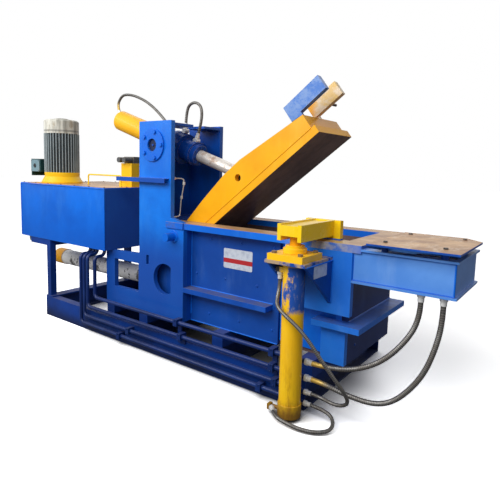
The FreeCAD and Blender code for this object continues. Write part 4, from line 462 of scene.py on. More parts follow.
def scale_tone(look):
    """Hot-rolled plate, dark brown scale with long rubbed streaks."""
    cloud = look.noise(3.0, 7, 0.7, stretch=(1, 1.6, 1))
    colour = look.blend(look.between(cloud, 0.35, 0.66), paint(88, 68, 66), paint(120, 98, 94))
    streak = look.between(look.noise(10, 6, 0.7, stretch=(0.5, 3, 0.5), shift=4.0), 0.56, 0.74)
    colour = look.blend(streak * 0.35, colour, paint(150, 128, 120))
    pits = look.between(look.noise(55, 5, 0.7), 0.62, 0.70)
    return look.blend(pits * 0.6, colour, paint(38, 27, 24))


def press_layers(look, colour):
    """The lid's press plate: yellow edges round a bare working face."""
    down = look.axis(0, look.facing) * 0.614 - look.axis(2, look.facing) * 0.789
    return look.blend(look.between(down, 0.90, 0.97), colour, scale_tone(look))


def lifter_rod_layers(look, colour):
    """Yellow spray on the rod's head; the rest, which runs in the cylinder, is bright."""
    bright = look.blend(look.noise(40, 4, 0.6), paint(172, 172, 172), paint(208, 208, 206))
    return look.blend(look.between(look.axis(2), 1.052, 1.044), colour, bright)


def bell_layers(look, colour):
    """Cast housing, a paler yellow with brown dirt round its foot."""
    foot = look.between(look.axis(2) + 0.02 * look.noise(40, 4, 0.6), 1.325, 1.312)
    return look.blend(foot * 0.5, colour, paint(186, 120, 30))


def plain_steel(name, tone, roughness, stain=0.0, metallic=1.0):
    """Unpainted steel with fine lines, and brown spots as far as stain says."""
    look = Finish(name, roughness=roughness, metallic=metallic, specular=0.5)
    look.rounded_edges(0.002)
    lines = look.noise(120, 4, 0.6)
    colour = look.blend(look.between(lines, 0.3, 0.7), tuple(0.78 * part for part in tone[:3]) + (1,), tone)
    if stain:
        spots = look.between(look.noise(9, 7, 0.75, shift=2.0), 0.46, 0.66)
        colour = look.blend(spots * stain, colour, paint(150, 118, 96))
        look.set("Roughness", (roughness + spots * 0.3 * stain).clamped())
    look.set("Base Color", colour)
    look.bump(lines, 0.0004, 0.5)
    return look.material


def scaled_plate():
    """Hot-rolled plate, bare on all sides."""
    look = Finish("mill_scale", roughness=0.6, metallic=0.1)
    look.rounded_edges(0.003)
    look.set("Base Color", scale_tone(look))
    look.bump(look.noise(30, 6, 0.7), 0.0015, 0.6)
    return look.material


def braided_hose():
    """Steel braid over rubber: two sets of crossing strands, dusty, with paint spray at some ends."""
    look = Finish("hose_braid", roughness=0.42, metallic=0.55, specular=0.5)
    uv = look.add("ShaderNodeTexCoord", out="UV")
    round_way, along = look.axis(0, uv), look.axis(1, uv)
    left = ((round_way * 8 + along) * (2 * math.pi)).sine()
    right = ((round_way * 8 - along) * (2 * math.pi)).sine()
    weave = (left * right * 0.5 + 0.5).clamped()
    dirt = look.between(look.noise(14, 6, 0.7), 0.40, 0.66)
    colour = look.blend(look.between(weave, 0.25, 0.70), paint(52, 50, 50), paint(132, 130, 126))
    colour = look.blend(dirt * 0.55, colour, paint(84, 76, 68))
    x, z = look.axis(0), look.axis(2)
    ragged = 0.08 * look.noise(20, 5, 0.7)
    pipe_end = (look.between(x + ragged, 1.56, 1.48) * look.between(z, 0.20, 0.22)
                * look.between(z, 0.42, 0.40))
    tail = look.between(x + ragged, -0.905, -0.935) * look.between(z + ragged, 2.13, 2.07)
    colour = look.blend(pipe_end.larger(tail) * 0.8, colour, paint(214, 176, 76))
    look.set("Base Color", colour)
    look.set("Roughness", (0.26 + 0.35 * dirt).clamped())
    look.bump(weave, 0.0008, 0.6)
    return look.material


def sign_face(name, band_low, band_high):
    """A bare sign plate: a pale field with one coloured band across it."""
    look = Finish(name, roughness=0.4)
    z = look.axis(2)
    cloud = look.between(look.noise(30, 5, 0.6), 0.4, 0.7)
    field = look.blend(cloud, paint(200, 206, 216), paint(172, 180, 196))
    band = look.between(z, band_low - 0.0015, band_low) * look.between(z, band_high + 0.0015, band_high)
    look.set("Base Color", look.blend(band, field, paint(176, 44, 50)))
    return look.material


blue_paint = painted_steel("blue_paint", BLUE, BLUE_DEEP, BLUE_PALE)
# A deeper copy of the blue paint, as painted shade, for pieces out of the light: the column's far plate and
# covers, the far press plate, the bulkhead, the ram head, the wall plugs and the gland bolts.
shade_blue = painted_steel("shade_blue", BLUE_DEEP, NAVY, BLUE)
# The box's end wall faces away from the light; its dull navy copy of the blue paint is painted shade.
end_blue = painted_steel("end_blue", paint(26, 48, 104), NAVY, paint(52, 84, 150), 0.4, 0.8)
# A brighter copy of the blue paint on the corner posts: painted light that stands against the shadow of the
# bracket and the yoke on them.
post_blue = painted_steel("post_blue", paint(44, 132, 244), paint(24, 104, 216), paint(98, 166, 244),
                          0.34, 0.6)
# A paler, brighter copy of the blue paint on the lock frame: painted light.
frame_blue = painted_steel("frame_blue", paint(108, 166, 244), paint(64, 128, 218), paint(164, 200, 246),
                           0.30, 0.5)
# A deeper copy of the blue paint on the box walls: painted shade under the rim's overhang.
wall_blue = painted_steel("wall_blue", paint(18, 78, 170), paint(14, 58, 136), paint(84, 120, 178),
                          0.38, 0.6)
# The stiffeners get a deeper copy of the blue paint, like the walls: painted shade; their tops carry heavy
# dust.
ledge_blue = painted_steel("ledge_blue", paint(14, 84, 186), paint(12, 58, 140), paint(70, 120, 190),
                           0.38, 1.0)
# A brighter copy of the blue paint on the press's near plate, deepened below the rim by column_layers:
# painted light above, painted shade and some dirt below.
column_blue = painted_steel("column_blue", paint(24, 128, 236), BLUE_DEEP, BLUE_PALE, 0.30, 0.4,
                            column_layers)
# The oil tank's blue carries painted shade from tank_layers.
tank_blue = painted_steel("tank_blue", BLUE, BLUE_DEEP, BLUE_PALE, 0.28, 0.3, tank_layers)
# A deeper copy of the blue paint on the skid: painted shade low by the floor, with floor dirt.
skid_blue = painted_steel("skid_blue", paint(10, 60, 146), paint(12, 32, 78), paint(36, 84, 162), 0.40, 0.6,
                          skid_layers)
yellow_paint = painted_steel("yellow_paint", YELLOW, YELLOW_DEEP, YELLOW_PALE, dusty=0.1, layers=yellow_rub)
press_finish = painted_steel("press_finish", YELLOW, YELLOW_DEEP, YELLOW_PALE, 0.45, 0.1, press_layers)
yoke_finish = painted_steel("yoke_finish", paint(255, 220, 30), paint(246, 196, 20), paint(255, 236, 120),
                            0.26, 0.1)
bell_finish = painted_steel("bell_finish", paint(252, 214, 40), YELLOW, YELLOW_PALE, 0.36, 0.1, bell_layers)
rim_finish = painted_steel("rim_finish", BLUE, BLUE_DEEP, BLUE_PALE, 0.42, 0.1, rim_layers)
# The lock frame's cover: a deeper copy of the blue paint below its primer top, as painted shade.
cover_finish = painted_steel("cover_finish", BLUE_DEEP, NAVY, BLUE_PALE, 0.45, 0.1, cover_layers)
tank_top_finish = painted_steel("tank_top_finish", BLUE, BLUE_DEEP, BLUE_PALE, 0.45, 0.1, tank_top_layers)
lifter_finish = painted_steel("lifter_finish", paint(255, 204, 26), paint(255, 190, 16),
                              paint(255, 222, 100), 0.4, 0.1, lifter_layers)
lifter_rod_finish = painted_steel("lifter_rod_finish", YELLOW, YELLOW_DEEP, YELLOW_PALE, 0.3, 0.0,
                                  lifter_rod_layers)
lid_cylinder_finish = painted_steel("lid_cylinder_finish", paint(252, 190, 40), YELLOW_DEEP, YELLOW_PALE,
                                    0.38, 0.1, lid_cylinder_layers)
stop_finish = painted_steel("stop_finish", YELLOW, YELLOW_DEEP, YELLOW_PALE, 0.4, 0.1, stop_layers)
# A deeper copy of the blue paint on the pipes and their clamps: painted shade low on the frame; the rail on
# the tank keeps its own yellow.
pipe_finish = painted_steel("pipe_finish", paint(14, 44, 108), paint(12, 28, 66), paint(52, 88, 156),
                            0.28, 0.3, pipe_layers)
valve_finish = painted_steel("valve_finish", paint(255, 206, 30), YELLOW, YELLOW_PALE, 0.4, 0.1, valve_layers)
ram_cylinder_finish = painted_steel("ram_cylinder_finish", YELLOW, YELLOW_DEEP, YELLOW_PALE, 0.36, 0.1,
                                    ram_cylinder_layers)
motor_finish = painted_steel("motor_finish", paint(178, 190, 194), paint(124, 140, 144), paint(232, 236, 236),
                             0.34, 0.2, motor_layers)
# A deeper copy of the blue paint on the lifter's bracket: painted shade on faces turned away from the light,
# with spray on its top plate's edges.
mount_finish = painted_steel("mount_finish", paint(16, 80, 180), NAVY, BLUE, 0.36, 0.5, mount_layers)
bolt_finish = painted_steel("bolt_finish", BLUE, BLUE_DEEP, BLUE_PALE, 0.32, 0.3, bolt_layers)
box_green = painted_steel("box_green", paint(24, 62, 62), paint(16, 44, 46), paint(66, 104, 104), 0.4, 0.2)
box_lid_paint = painted_steel("box_lid_paint", paint(126, 156, 166), paint(96, 126, 138),
                              paint(170, 190, 196), 0.4, 0.1)
rod_chrome = plain_steel("rod_chrome", paint(222, 216, 208), 0.34, 0.8, 0.4)
zinc = plain_steel("zinc", paint(240, 240, 238), 0.24, 0.1, 0.2)
dark_steel = plain_steel("dark_steel", paint(84, 82, 82), 0.42, 0.4)
# Black iron for bolts and the cowl grille; on the rod pin and the terminal lid's hole it stands for painted
# shade.
black_iron = plain_steel("black_iron", paint(40, 40, 44), 0.45, 0.0, 0.4)
mill_scale = scaled_plate()
hose_braid = braided_hose()
wall_sign = sign_face("wall_sign", 0.806, 0.838)
small_sign = sign_face("small_sign", 0.1, 0.2)

NODE_FINISH = {
    post_blue: ("box_corner_posts",),
    tank_blue: ("oil_tank",),
    shade_blue: ("column_far_plate", "column_covers", "press_far_plate", "press_bulkhead", "ram_head"),
    mount_finish: ("lifter_mount",),
    end_blue: ("box_end_wall",),
    wall_blue: ("box_near_wall", "box_far_wall"),
    ledge_blue: ("press_stiffeners",),
    bolt_finish: ("hexagon_bolts",),
    column_blue: ("press_near_plate",),
    frame_blue: ("lock_frame",),
    skid_blue: ("skid_rails", "skid_cross_beams", "tank_stand"),
    yellow_paint: ("lid_near_side", "lid_far_side", "lid_ribs", "lid_hub"),
    press_finish: ("lid_press_plate",),
    yoke_finish: ("lifter_yoke",),
    bell_finish: ("bell_housing",),
    rim_finish: ("box_rim",),
    cover_finish: ("lock_frame_cover",),
    tank_top_finish: ("tank_cover",),
    lifter_finish: ("lifter_cylinder",),
    lifter_rod_finish: ("lifter_rod",),
    lid_cylinder_finish: ("lid_cylinder",),
    stop_finish: ("lid_stops",),
    pipe_finish: ("rigid_pipes", "pipe_clamps"),
    valve_finish: ("valve_stack",),
    ram_cylinder_finish: ("ram_cylinder",),
    motor_finish: ("motor_case", "tank_fittings"),
    box_green: ("terminal_case",),
    rod_chrome: ("lid_cylinder_rod", "ram_rod"),
    zinc: ("ferrules_frame", "ferrules_lid"),
    # The rod pin is black so that its end in the lid's side reads as a dark hole: painted shade.
    black_iron: ("rod_pin",),
    dark_steel: ("lock_bar", "motor_rotor", "oil_pump", "lock_cylinder"),
    mill_scale: ("box_floor", "box_liners"),
}
finish_of = {name: look for look, names in NODE_FINISH.items() for name in names}
for name, item in nodes.items():
    item.data.materials.clear()
    item.data.materials.append(finish_of.get(name, blue_paint))

# ---------------------------------------------------------------- helpers for pieces


def put(name, mesh, finish, body):
    """Links a finished mesh as a piece that rides on a body."""
    item = bpy.data.objects.new(name, mesh)
    bpy.context.scene.collection.objects.link(item)
    if finish:
        mesh.materials.clear()
        mesh.materials.append(finish)
    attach(item, body)
    return item


def plain_mesh(item, name):
    """The evaluated form of an object as a mesh of its own; the object goes."""
    bpy.context.view_layer.update()
    found = item.evaluated_get(bpy.context.evaluated_depsgraph_get())
    mesh = bpy.data.meshes.new_from_object(found)
    mesh.name = name
    bpy.data.objects.remove(item, do_unlink=True)
    return mesh


def smooth(mesh):
    """Shades a mesh as round all over."""
    for face in mesh.polygons:
        face.use_smooth = True


def smooth_line(name, route, steps):
    """A curve that the points of a route pull along."""
    line = bpy.data.curves.new(name, "CURVE")
    line.dimensions, line.resolution_u = "3D", steps
    spline = line.splines.new("NURBS")
    spline.points.add(len(route) - 1)
    for spot, point in zip(spline.points, route):
        spot.co = (*point, 1)
    spline.order_u, spline.use_endpoint_u = 3, True
    return line


def line_mesh(line, name):
    """The mesh of a curve: a thin line, or a tube if the curve has a depth."""
    guide = bpy.data.objects.new(name + "_guide", line)
    bpy.context.scene.collection.objects.link(guide)
    return plain_mesh(guide, name)


def thicken(line, size, rings):
    """Makes a curve a round tube with closed ends."""
    line.bevel_depth, line.bevel_resolution, line.use_fill_caps = size / 2, rings, True


# ---------------------------------------------------------------- hoses

CUFF = 0.046  # how far a ferrule reaches over the route's end
LID_CUFF = 0.064
BARREL_Y = -0.1015
BRAID_PITCH = 0.7  # of a hose's diameter
# name, diameter, body that it rides on, cuff, and the route that the CAD tube follows too
HOSES = [
    ("hose_lock_right", 0.030, "frame", CUFF,
     [(1.350, -0.540, 0.240), (1.460, -0.540, 0.240), (1.620, -0.517, 0.200), (1.766, -0.490, 0.185),
      (1.866, -0.470, 0.222), (1.950, -0.450, 0.312), (2.018, -0.430, 0.425), (2.058, -0.408, 0.560),
      (2.076, -0.372, 0.690), (2.076, -0.372, 0.842)]),
    ("hose_lock_left", 0.030, "frame", CUFF,
     [(1.350, -0.540, 0.341), (1.480, -0.540, 0.341), (1.640, -0.520, 0.360), (1.790, -0.480, 0.434),
      (1.900, -0.430, 0.560), (1.957, -0.372, 0.690), (1.957, -0.372, 0.842)]),
    ("hose_lifter_top", 0.022, "frame", CUFF,
     [(1.214, -0.648, 0.900), (1.214, -0.650, 0.800), (1.219, -0.680, 0.745), (1.245, -0.722, 0.705),
      (1.310, -0.734, 0.668), (1.385, -0.733, 0.625), (1.455, -0.722, 0.560), (1.530, -0.700, 0.455),
      (1.600, -0.660, 0.345), (1.645, -0.610, 0.255), (1.650, -0.570, 0.190), (1.615, -0.548, 0.148),
      (1.545, -0.540, 0.130), (1.450, -0.540, 0.149), (1.350, -0.540, 0.149)]),
    ("hose_lifter_low", 0.022, "frame", CUFF,
     [(1.192, -0.661, 0.044), (1.268, -0.736, 0.042), (1.345, -0.733, 0.028), (1.425, -0.731, 0.022),
      (1.510, -0.706, 0.020), (1.569, -0.652, 0.022), (1.578, -0.607, 0.032), (1.560, -0.565, 0.048),
      (1.522, -0.541, 0.064), (1.450, -0.540, 0.077), (1.350, -0.540, 0.077)]),
    ("hose_lid_rear", 0.024, "lid_cylinder_body", LID_CUFF,
     [(x, BARREL_Y, z) for x, z in
      ((-0.9505, 1.947), (-1.000, 2.060), (-0.945, 2.130), (-0.885, 2.146), (-0.790, 2.134),
       (-0.695, 2.106), (-0.600, 2.066), (-0.515, 2.016), (-0.440, 1.962), (-0.375, 1.907),
       (-0.275, 1.811))]),
    ("hose_lid_front", 0.024, "lid_cylinder_body", LID_CUFF,
     [(x, BARREL_Y, z) for x, z in
      ((-0.112, 1.796), (-0.100, 1.970), (-0.050, 2.020), (0.020, 2.020), (0.070, 1.970),
       (0.066, 1.860), (0.014, 1.713))]),
]


def hose(name, size, body, cuff, route):
    """A braided hose between two ferrules: a tube along the spline of its route."""
    points = [Vector(point) for point in route]
    points[0] = points[0] + (points[1] - points[0]).normalized() * cuff
    points[-1] = points[-1] + (points[-2] - points[-1]).normalized() * cuff
    line = smooth_line(name, points, 10)
    path = [vertex.co.copy() for vertex in line_mesh(line, name + "_path").vertices]
    length = sum((b - a).length for a, b in zip(path, path[1:]))
    thicken(line, size, 5)
    mesh = line_mesh(line, name + "_braid")
    smooth(mesh)
    turns = length / (size * BRAID_PITCH)
    for corner in mesh.uv_layers.active.data:
        corner.uv = (corner.uv[1], corner.uv[0] * turns)
    item = put(name + "_braid", mesh, hose_braid, body)
    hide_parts(name)


for entry in HOSES:
    hose(*entry)

# ---------------------------------------------------------------- weld beads, bolt heads and plates

LID_TURN = math.radians(37.9)
HINGE = Vector((0.073, 0, 0.957))
BARREL_TURN = math.radians(17.744)
TRUNNION = Vector((-0.165, BARREL_Y, 1.662))


def lid_point(along, above, y):
    """A place on the lid as it stands, from the hinge along and above the lid."""
    c, s = math.cos(LID_TURN), math.sin(LID_TURN)
    return (HINGE.x + along * c - above * s, y, HINGE.z + along * s + above * c)


def growing_tree(name, sockets):
    """A geometry tree with named inputs; gives the graph and its inputs by name."""
    tree = bpy.data.node_groups.new(name, "GeometryNodeTree")
    tree.interface.new_socket("Geometry", in_out="INPUT", socket_type="NodeSocketGeometry")
    for label, kind, value in sockets:
        socket = tree.interface.new_socket(label, in_out="INPUT", socket_type=kind)
        if value is not None:
            socket.default_value = value
    tree.interface.new_socket("Geometry", in_out="OUTPUT", socket_type="NodeSocketGeometry")
    start = tree.nodes.new("NodeGroupInput")
    wires = {socket.name: Wire(tree, socket) for socket in start.outputs if socket.name}
    return Graph(tree), wires


def close_tree(graph, shape, finish):
    """Ends a tree: whatever is instanced is made real, then it gets its finish."""
    shape = graph.add("GeometryNodeRealizeInstances", inputs={"Geometry": shape})
    shape = graph.add("GeometryNodeSetMaterial", inputs={"Geometry": shape, "Material": finish})
    end = graph.tree.nodes.new("NodeGroupOutput")
    graph.tree.links.new(shape.socket, end.inputs["Geometry"])
    return graph.tree


def bead_tree():
    """A bead along each line of the input: its width ripples as a hand weld's does."""
    graph, given = growing_tree("bead_along_lines", [
        ("Size", "NodeSocketFloat", 0.005), ("Spacing", "NodeSocketFloat", 0.006),
        ("Ripple", "NodeSocketFloat", 0.5), ("Seed", "NodeSocketInt", 7),
        ("Finish", "NodeSocketMaterial", None)])
    line = graph.add("GeometryNodeMeshToCurve", inputs={"Mesh": given["Geometry"]})
    line = graph.add("GeometryNodeResampleCurve", {"mode": "LENGTH"},
                     {"Curve": line, "Length": given["Spacing"]})
    wave = graph.add("ShaderNodeTexNoise", {"noise_dimensions": "4D"},
                     {"W": given["Seed"], "Scale": 70.0, "Detail": 2.0})
    width = (wave - 0.5) * given["Ripple"] * 2.0 + 1.0
    line = graph.add("GeometryNodeSetCurveRadius", inputs={"Curve": line, "Radius": width})
    ring = graph.add("GeometryNodeCurvePrimitiveCircle", inputs={"Resolution": 7, "Radius": given["Size"]})
    skin = graph.add("GeometryNodeCurveToMesh",
                     inputs={"Curve": line, "Profile Curve": ring, "Fill Caps": True})
    return close_tree(graph, skin, given["Finish"])


def head_tree():
    """A bolt head or a round weld plug on each point, turned to the point's way."""
    graph, given = growing_tree("heads_on_points", [
        ("Sides", "NodeSocketInt", 6), ("Radius", "NodeSocketFloat", 0.012),
        ("Height", "NodeSocketFloat", 0.008), ("Taper", "NodeSocketFloat", 0.9),
        ("Seed", "NodeSocketInt", 3), ("Finish", "NodeSocketMaterial", None)])
    way = graph.add("GeometryNodeInputNamedAttribute", {"data_type": "FLOAT_VECTOR"}, {"Name": "way"})
    turn = graph.add("FunctionNodeAlignRotationToVector", {"axis": "Z"}, {"Vector": way})
    spin = graph.add("FunctionNodeRandomValue", {"data_type": "FLOAT"},
                     {"Min": 0.0, "Max": math.pi, "Seed": given["Seed"]}, "Value")
    spin = graph.add("FunctionNodeAxisAngleToRotation", inputs={"Axis": (0, 0, 1), "Angle": spin})
    turn = graph.add("FunctionNodeRotateRotation", {"rotation_space": "LOCAL"},
                     {"Rotation": turn, "Rotate By": spin})
    head = graph.add("GeometryNodeMeshCone", inputs={
        "Vertices": given["Sides"], "Radius Top": given["Radius"] * given["Taper"],
        "Radius Bottom": given["Radius"], "Depth": given["Height"]}, out="Mesh")
    heads = graph.add("GeometryNodeInstanceOnPoints",
                      inputs={"Points": given["Geometry"], "Instance": head, "Rotation": turn})
    return close_tree(graph, heads, given["Finish"])


BEADS = bead_tree()
HEADS = head_tree()


def grow(name, mesh, tree, values, body):
    """Runs a geometry tree on a mesh and links the result as a piece."""
    item = bpy.data.objects.new(name + "_seed", mesh)
    bpy.context.scene.collection.objects.link(item)
    step = item.modifiers.new("grow", "NODES")
    step.node_group = tree
    for socket in tree.interface.items_tree:
        if socket.in_out == "INPUT" and socket.name in values:
            step[socket.identifier] = values[socket.name]
    return put(name, plain_mesh(item, name), None, body)


def weld(name, lines, finish, body, size=0.005, ripple=0.5, spacing=0.006):
    """Weld beads along lines of points; size is a bead's radius."""
    mesh = bpy.data.meshes.new(name + "_lines")
    points, edges = [], []
    for line in lines:
        first = len(points)
        points += [tuple(point) for point in line]
        edges += [(first + k, first + k + 1) for k in range(len(line) - 1)]
    mesh.from_pydata(points, edges, [])
    piece = grow(name, mesh, BEADS, {"Size": size, "Ripple": ripple, "Spacing": spacing, "Finish": finish},
                 body)
    smooth(piece.data)


def heads(name, places, finish, body, slot, radius=0.012, height=0.008, sides=6, taper=0.9):
    """places holds pairs of a point and the way that its head looks."""
    mesh = bpy.data.meshes.new(name + "_points")
    mesh.from_pydata([tuple(point) for point, way in places], [], [])
    ways = mesh.attributes.new("way", "FLOAT_VECTOR", "POINT")
    for spot, (point, way) in zip(ways.data, places):
        spot.vector = way
    grow(name, mesh, HEADS, {"Sides": sides, "Radius": radius, "Height": height, "Taper": taper,
                             "Finish": finish}, body)


def ring_of(centre, radius, count, across, up, turn=0.0):
    """Points on a circle that the two directions across and up span."""
    across, up = Vector(across), Vector(up)
    return [Vector(centre) + radius * (math.cos(turn + 2 * math.pi * k / count) * across
                                       + math.sin(turn + 2 * math.pi * k / count) * up)
            for k in range(count)]


def slab(name, centre, across, up, width, height, depth, corner, finish, body, steps=5):
    """A flat plate with round corners that stands off the surface along across x up."""
    across, up = Vector(across), Vector(up)
    way = across.cross(up)
    outline = []
    for side_x, side_y, start in ((1, 1, 0), (-1, 1, 90), (-1, -1, 180), (1, -1, 270)):
        for step in range(steps + 1):
            angle = math.radians(start + 90 * step / steps)
            outline.append(Vector(centre)
                           + across * (side_x * (width / 2 - corner) + corner * math.cos(angle))
                           + up * (side_y * (height / 2 - corner) + corner * math.sin(angle)))
    count = len(outline)
    points = [tuple(point) for point in outline] + [tuple(point + way * depth) for point in outline]
    faces = [tuple(range(count, 2 * count)), tuple(reversed(range(count)))]
    faces += [(k, (k + 1) % count, count + (k + 1) % count, count + k) for k in range(count)]
    mesh = bpy.data.meshes.new(name)
    mesh.from_pydata(points, [], faces)
    put(name, mesh, finish, body)


X, Y, Z = (1, 0, 0), (0, 1, 0), (0, 0, 1)
FRONT, LEFT = (0, -1, 0), (-1, 0, 0)
WALL, FACE = -0.315, -0.410  # near faces of the box's wall, and of the rim and the column plate
BEAD_FACE = FACE - 0.001
BOX_LEFT, LEDGE_RIGHT, POST_LEFT, END_FACE = 0.181, 0.955, 0.998, 1.516
BOX_LOW, LEDGE_LOW, LEDGE_TOP, RIM_LOW = 0.292, 0.529, 0.568, 1.020
BRACKET_LEFT, BRACKET_RIGHT, BRACKET_PLATE = 1.165, 1.435, 0.022
BRACKET_LOW, BRACKET_TOP = 0.692, 0.960
FRAME_LEFT, FRAME_RIGHT, FRAME_FRONT = 1.561, 2.130, -0.397
FRAME_LOW, FRAME_TOP = 0.856, 1.034
TANK_LEFT, TANK_RIGHT, TANK_FRONT = -2.045, -0.673, -0.499
TANK_LOW, TANK_TOP = 0.760, 1.289
BOSS_RADIUS = 0.047


def lengthwise(y, z, start, end):
    """A line along the machine."""
    return [(start, y, z), (end, y, z)]


def sideways(x, z, start, end):
    """A line across the machine."""
    return [(x, start, z), (x, end, z)]


def upright(x, y, start, end):
    """A line up or down."""
    return [(x, y, start), (x, y, end)]


wall_seams = [
    upright(BOX_LEFT, WALL, 0.345, LEDGE_LOW), upright(BOX_LEFT, WALL, LEDGE_TOP, RIM_LOW),
    lengthwise(WALL, LEDGE_TOP, 0.182, 0.954), lengthwise(WALL, LEDGE_LOW, 0.182, 0.954),
    upright(LEDGE_RIGHT, WALL, 0.530, 0.567), lengthwise(WALL, RIM_LOW, 0.182, POST_LEFT),
    lengthwise(WALL, BOX_LOW, BOX_LEFT, POST_LEFT), lengthwise(-0.356, 0.530, 1.438, 1.350),
    sideways(END_FACE, LEDGE_TOP, WALL, 0.409), upright(END_FACE, -0.372, 0.630, RIM_LOW),
]
bracket_seams = [
    lengthwise(FACE, 0.981, 1.166, 1.434),
    upright(BRACKET_RIGHT, FACE, BRACKET_TOP, BRACKET_LOW),
    upright(BRACKET_RIGHT - BRACKET_PLATE, FACE, 0.958, BRACKET_LOW),
    upright(BRACKET_LEFT, FACE, BRACKET_TOP, BRACKET_LOW),
    upright(BRACKET_LEFT + BRACKET_PLATE, FACE, 0.958, BRACKET_LOW),
    sideways(BRACKET_RIGHT, BRACKET_TOP, -0.412, -0.728),
]
lock_frame_seams = [
    upright(FRAME_LEFT, FRAME_FRONT, 0.857, RIM_LOW), sideways(FRAME_LEFT, 0.842, FRAME_FRONT, -0.333),
    upright(FRAME_RIGHT, FRAME_FRONT, FRAME_LOW, FRAME_TOP),
    lengthwise(-0.398, FRAME_LOW, 1.562, 2.129), lengthwise(-0.398, FRAME_TOP, 1.614, 2.129),
]
column_seams = [
    lengthwise(BEAD_FACE, 1.403, -0.327, 0.018), lengthwise(BEAD_FACE, 1.367, -0.327, 0.018),
    upright(-0.306, -0.369, 1.070, 1.575),
]
tank_seams = [
    upright(TANK_RIGHT, TANK_FRONT, TANK_LOW, 1.288), upright(TANK_LEFT, TANK_FRONT, TANK_LOW, 1.288),
    lengthwise(TANK_FRONT, TANK_TOP, -2.044, -0.674),
]
boss = ring_of((HINGE.x, BEAD_FACE, HINGE.z), BOSS_RADIUS, 24, X, Z)
box_seams = wall_seams + bracket_seams + lock_frame_seams + column_seams + tank_seams + [boss + boss[:1]]
weld("box_welds", box_seams, blue_paint, "frame")

LID_HALF, LID_INSIDE = 0.2505, 0.224
PRESS_SEAM = -0.024  # height of the press plate's top, from the hinge
RIB_STARTS, RIB_PLATE = (0.320, 0.860, 1.180), 0.020

lid_seams = []
for y in (-LID_HALF, LID_HALF):
    lid_seams.append([lid_point(0.152, -0.025, y), lid_point(1.356, -0.025, y)])
lid_seams.append([lid_point(1.359, PRESS_SEAM, y) for y in (-0.225, 0.225)])
for start in RIB_STARTS:
    for along in (start, start + RIB_PLATE):
        lid_seams.append([lid_point(along, PRESS_SEAM, y) for y in (-LID_INSIDE, LID_INSIDE)])
weld("lid_welds", lid_seams, yellow_paint, "lid", 0.004)

plugs = [((x, WALL, z), FRONT) for x, z in ((0.381, 0.961), (0.667, 0.962), (0.953, 0.962), (0.236, 0.678),
                                            (0.522, 0.678), (0.813, 0.672), (0.371, 0.382), (0.660, 0.382),
                                            (0.950, 0.382))]
plugs += [((x, -WALL, z), Y) for (x, _, z), _ in plugs]
plugs.append(((1.515, -0.196, 0.388), X))
heads("wall_plugs", plugs, shade_blue, "frame", "blue_paint", 0.011, 0.004, 14, 0.6)

COVER_TOP, BELL_FOOT_TOP, COWL_TOP = 1.300, 1.314, 1.9425
bell = ring_of((MOTOR_X, MOTOR_Y, BELL_FOOT_TOP), 0.183, 10, X, Y, 0.2)
heads("bell_bolts", [(point, Z) for point in bell], black_iron, "frame", "steel", 0.011, 0.010)
cover_screws = [((x, y, COVER_TOP), Z) for y in (-0.478, 0.482)
                for x in (-2.02, -1.80, -1.58, -1.36, -1.14, -0.92, -0.70)]
cover_screws += [((x, y, COVER_TOP), Z) for x in (-2.02, -0.70) for y in (-0.24, 0, 0.24)]
heads("tank_cover_screws", cover_screws, dark_steel, "frame", "steel", 0.008, 0.005)
top_bolts = [((x, y, 1.100), Z) for x in (1.737, 2.065) for y in (-0.3645, 0.0915)]
heads("lock_cover_bolts", top_bolts, dark_steel, "frame", "steel", 0.014, 0.009)
clamp_bolts = [((x, -0.566, height + side), FRONT)
               for x, height in ((1.109, 0.341), (1.109, 0.240), (1.136, 0.149), (1.017, 0.077),
                                 (0.250, 0.341), (0.290, 0.240), (-0.300, 0.149), (-0.420, 0.077))
               for side in (-0.019, 0.019)]
heads("clamp_bolts", clamp_bolts, pipe_finish, "frame", "blue_paint", 0.006, 0.005)
ram_bolts = ring_of((-0.372, 0, 0.457), 0.117, 8, Y, Z, 0.39)
heads("ram_flange_bolts", [(point, LEFT) for point in ram_bolts], dark_steel, "frame", "steel", 0.013, 0.012)

axis = Vector((math.cos(BARREL_TURN), 0, -math.sin(BARREL_TURN)))
over = Vector((math.sin(BARREL_TURN), 0, math.cos(BARREL_TURN)))
gland_face = TRUNNION + axis * 0.236
gland_bolts = ring_of(gland_face, 0.068, 8, Y, over, 0.2)
heads("lid_gland_bolts", [(point, axis) for point in gland_bolts], shade_blue, "lid_cylinder_body",
      "blue_paint", 0.008, 0.006)

stub_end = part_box("lid_cylinder")[0][1]
heads("trunnion_screw", [((TRUNNION.x, stub_end, TRUNNION.z), FRONT)], shade_blue, "lid_cylinder_body",
      "blue_paint", 0.011, 0.007)

slab("wall_sign", (0.637, WALL, 0.8375), X, Z, 0.262, 0.146, 0.002, 0.010, wall_sign, "frame")
slab("bracket_sign", (1.434, -0.5625, 0.9190), Y, Z, 0.158, 0.074, 0.0015, 0.004, small_sign, "frame")
slab("terminal_lid", (-1.9275, -0.400, 1.470), X, Z, 0.150, 0.118, 0.010, 0.012, box_lid_paint, "frame")
# A black disc stands for the dark inside of the round hole in the terminal lid: painted shade.
heads("terminal_eye", [((-1.930, -0.410, 1.470), FRONT)], black_iron, "frame", "steel",
      0.022, 0.006, 20, 0.85)
heads("terminal_screws", [((x, -0.410, z), FRONT) for x in (-1.992, -1.863) for z in (1.421, 1.519)],
      dark_steel, "frame", "steel", 0.005, 0.003, 12, 0.8)


def thin_pipe(name, route, size, finish, body):
    """A rigid pipe or a bent peg along its route."""
    line = smooth_line(name, route, 8)
    thicken(line, size, 3)
    piece = put(name, line_mesh(line, name), finish, body)
    smooth(piece.data)


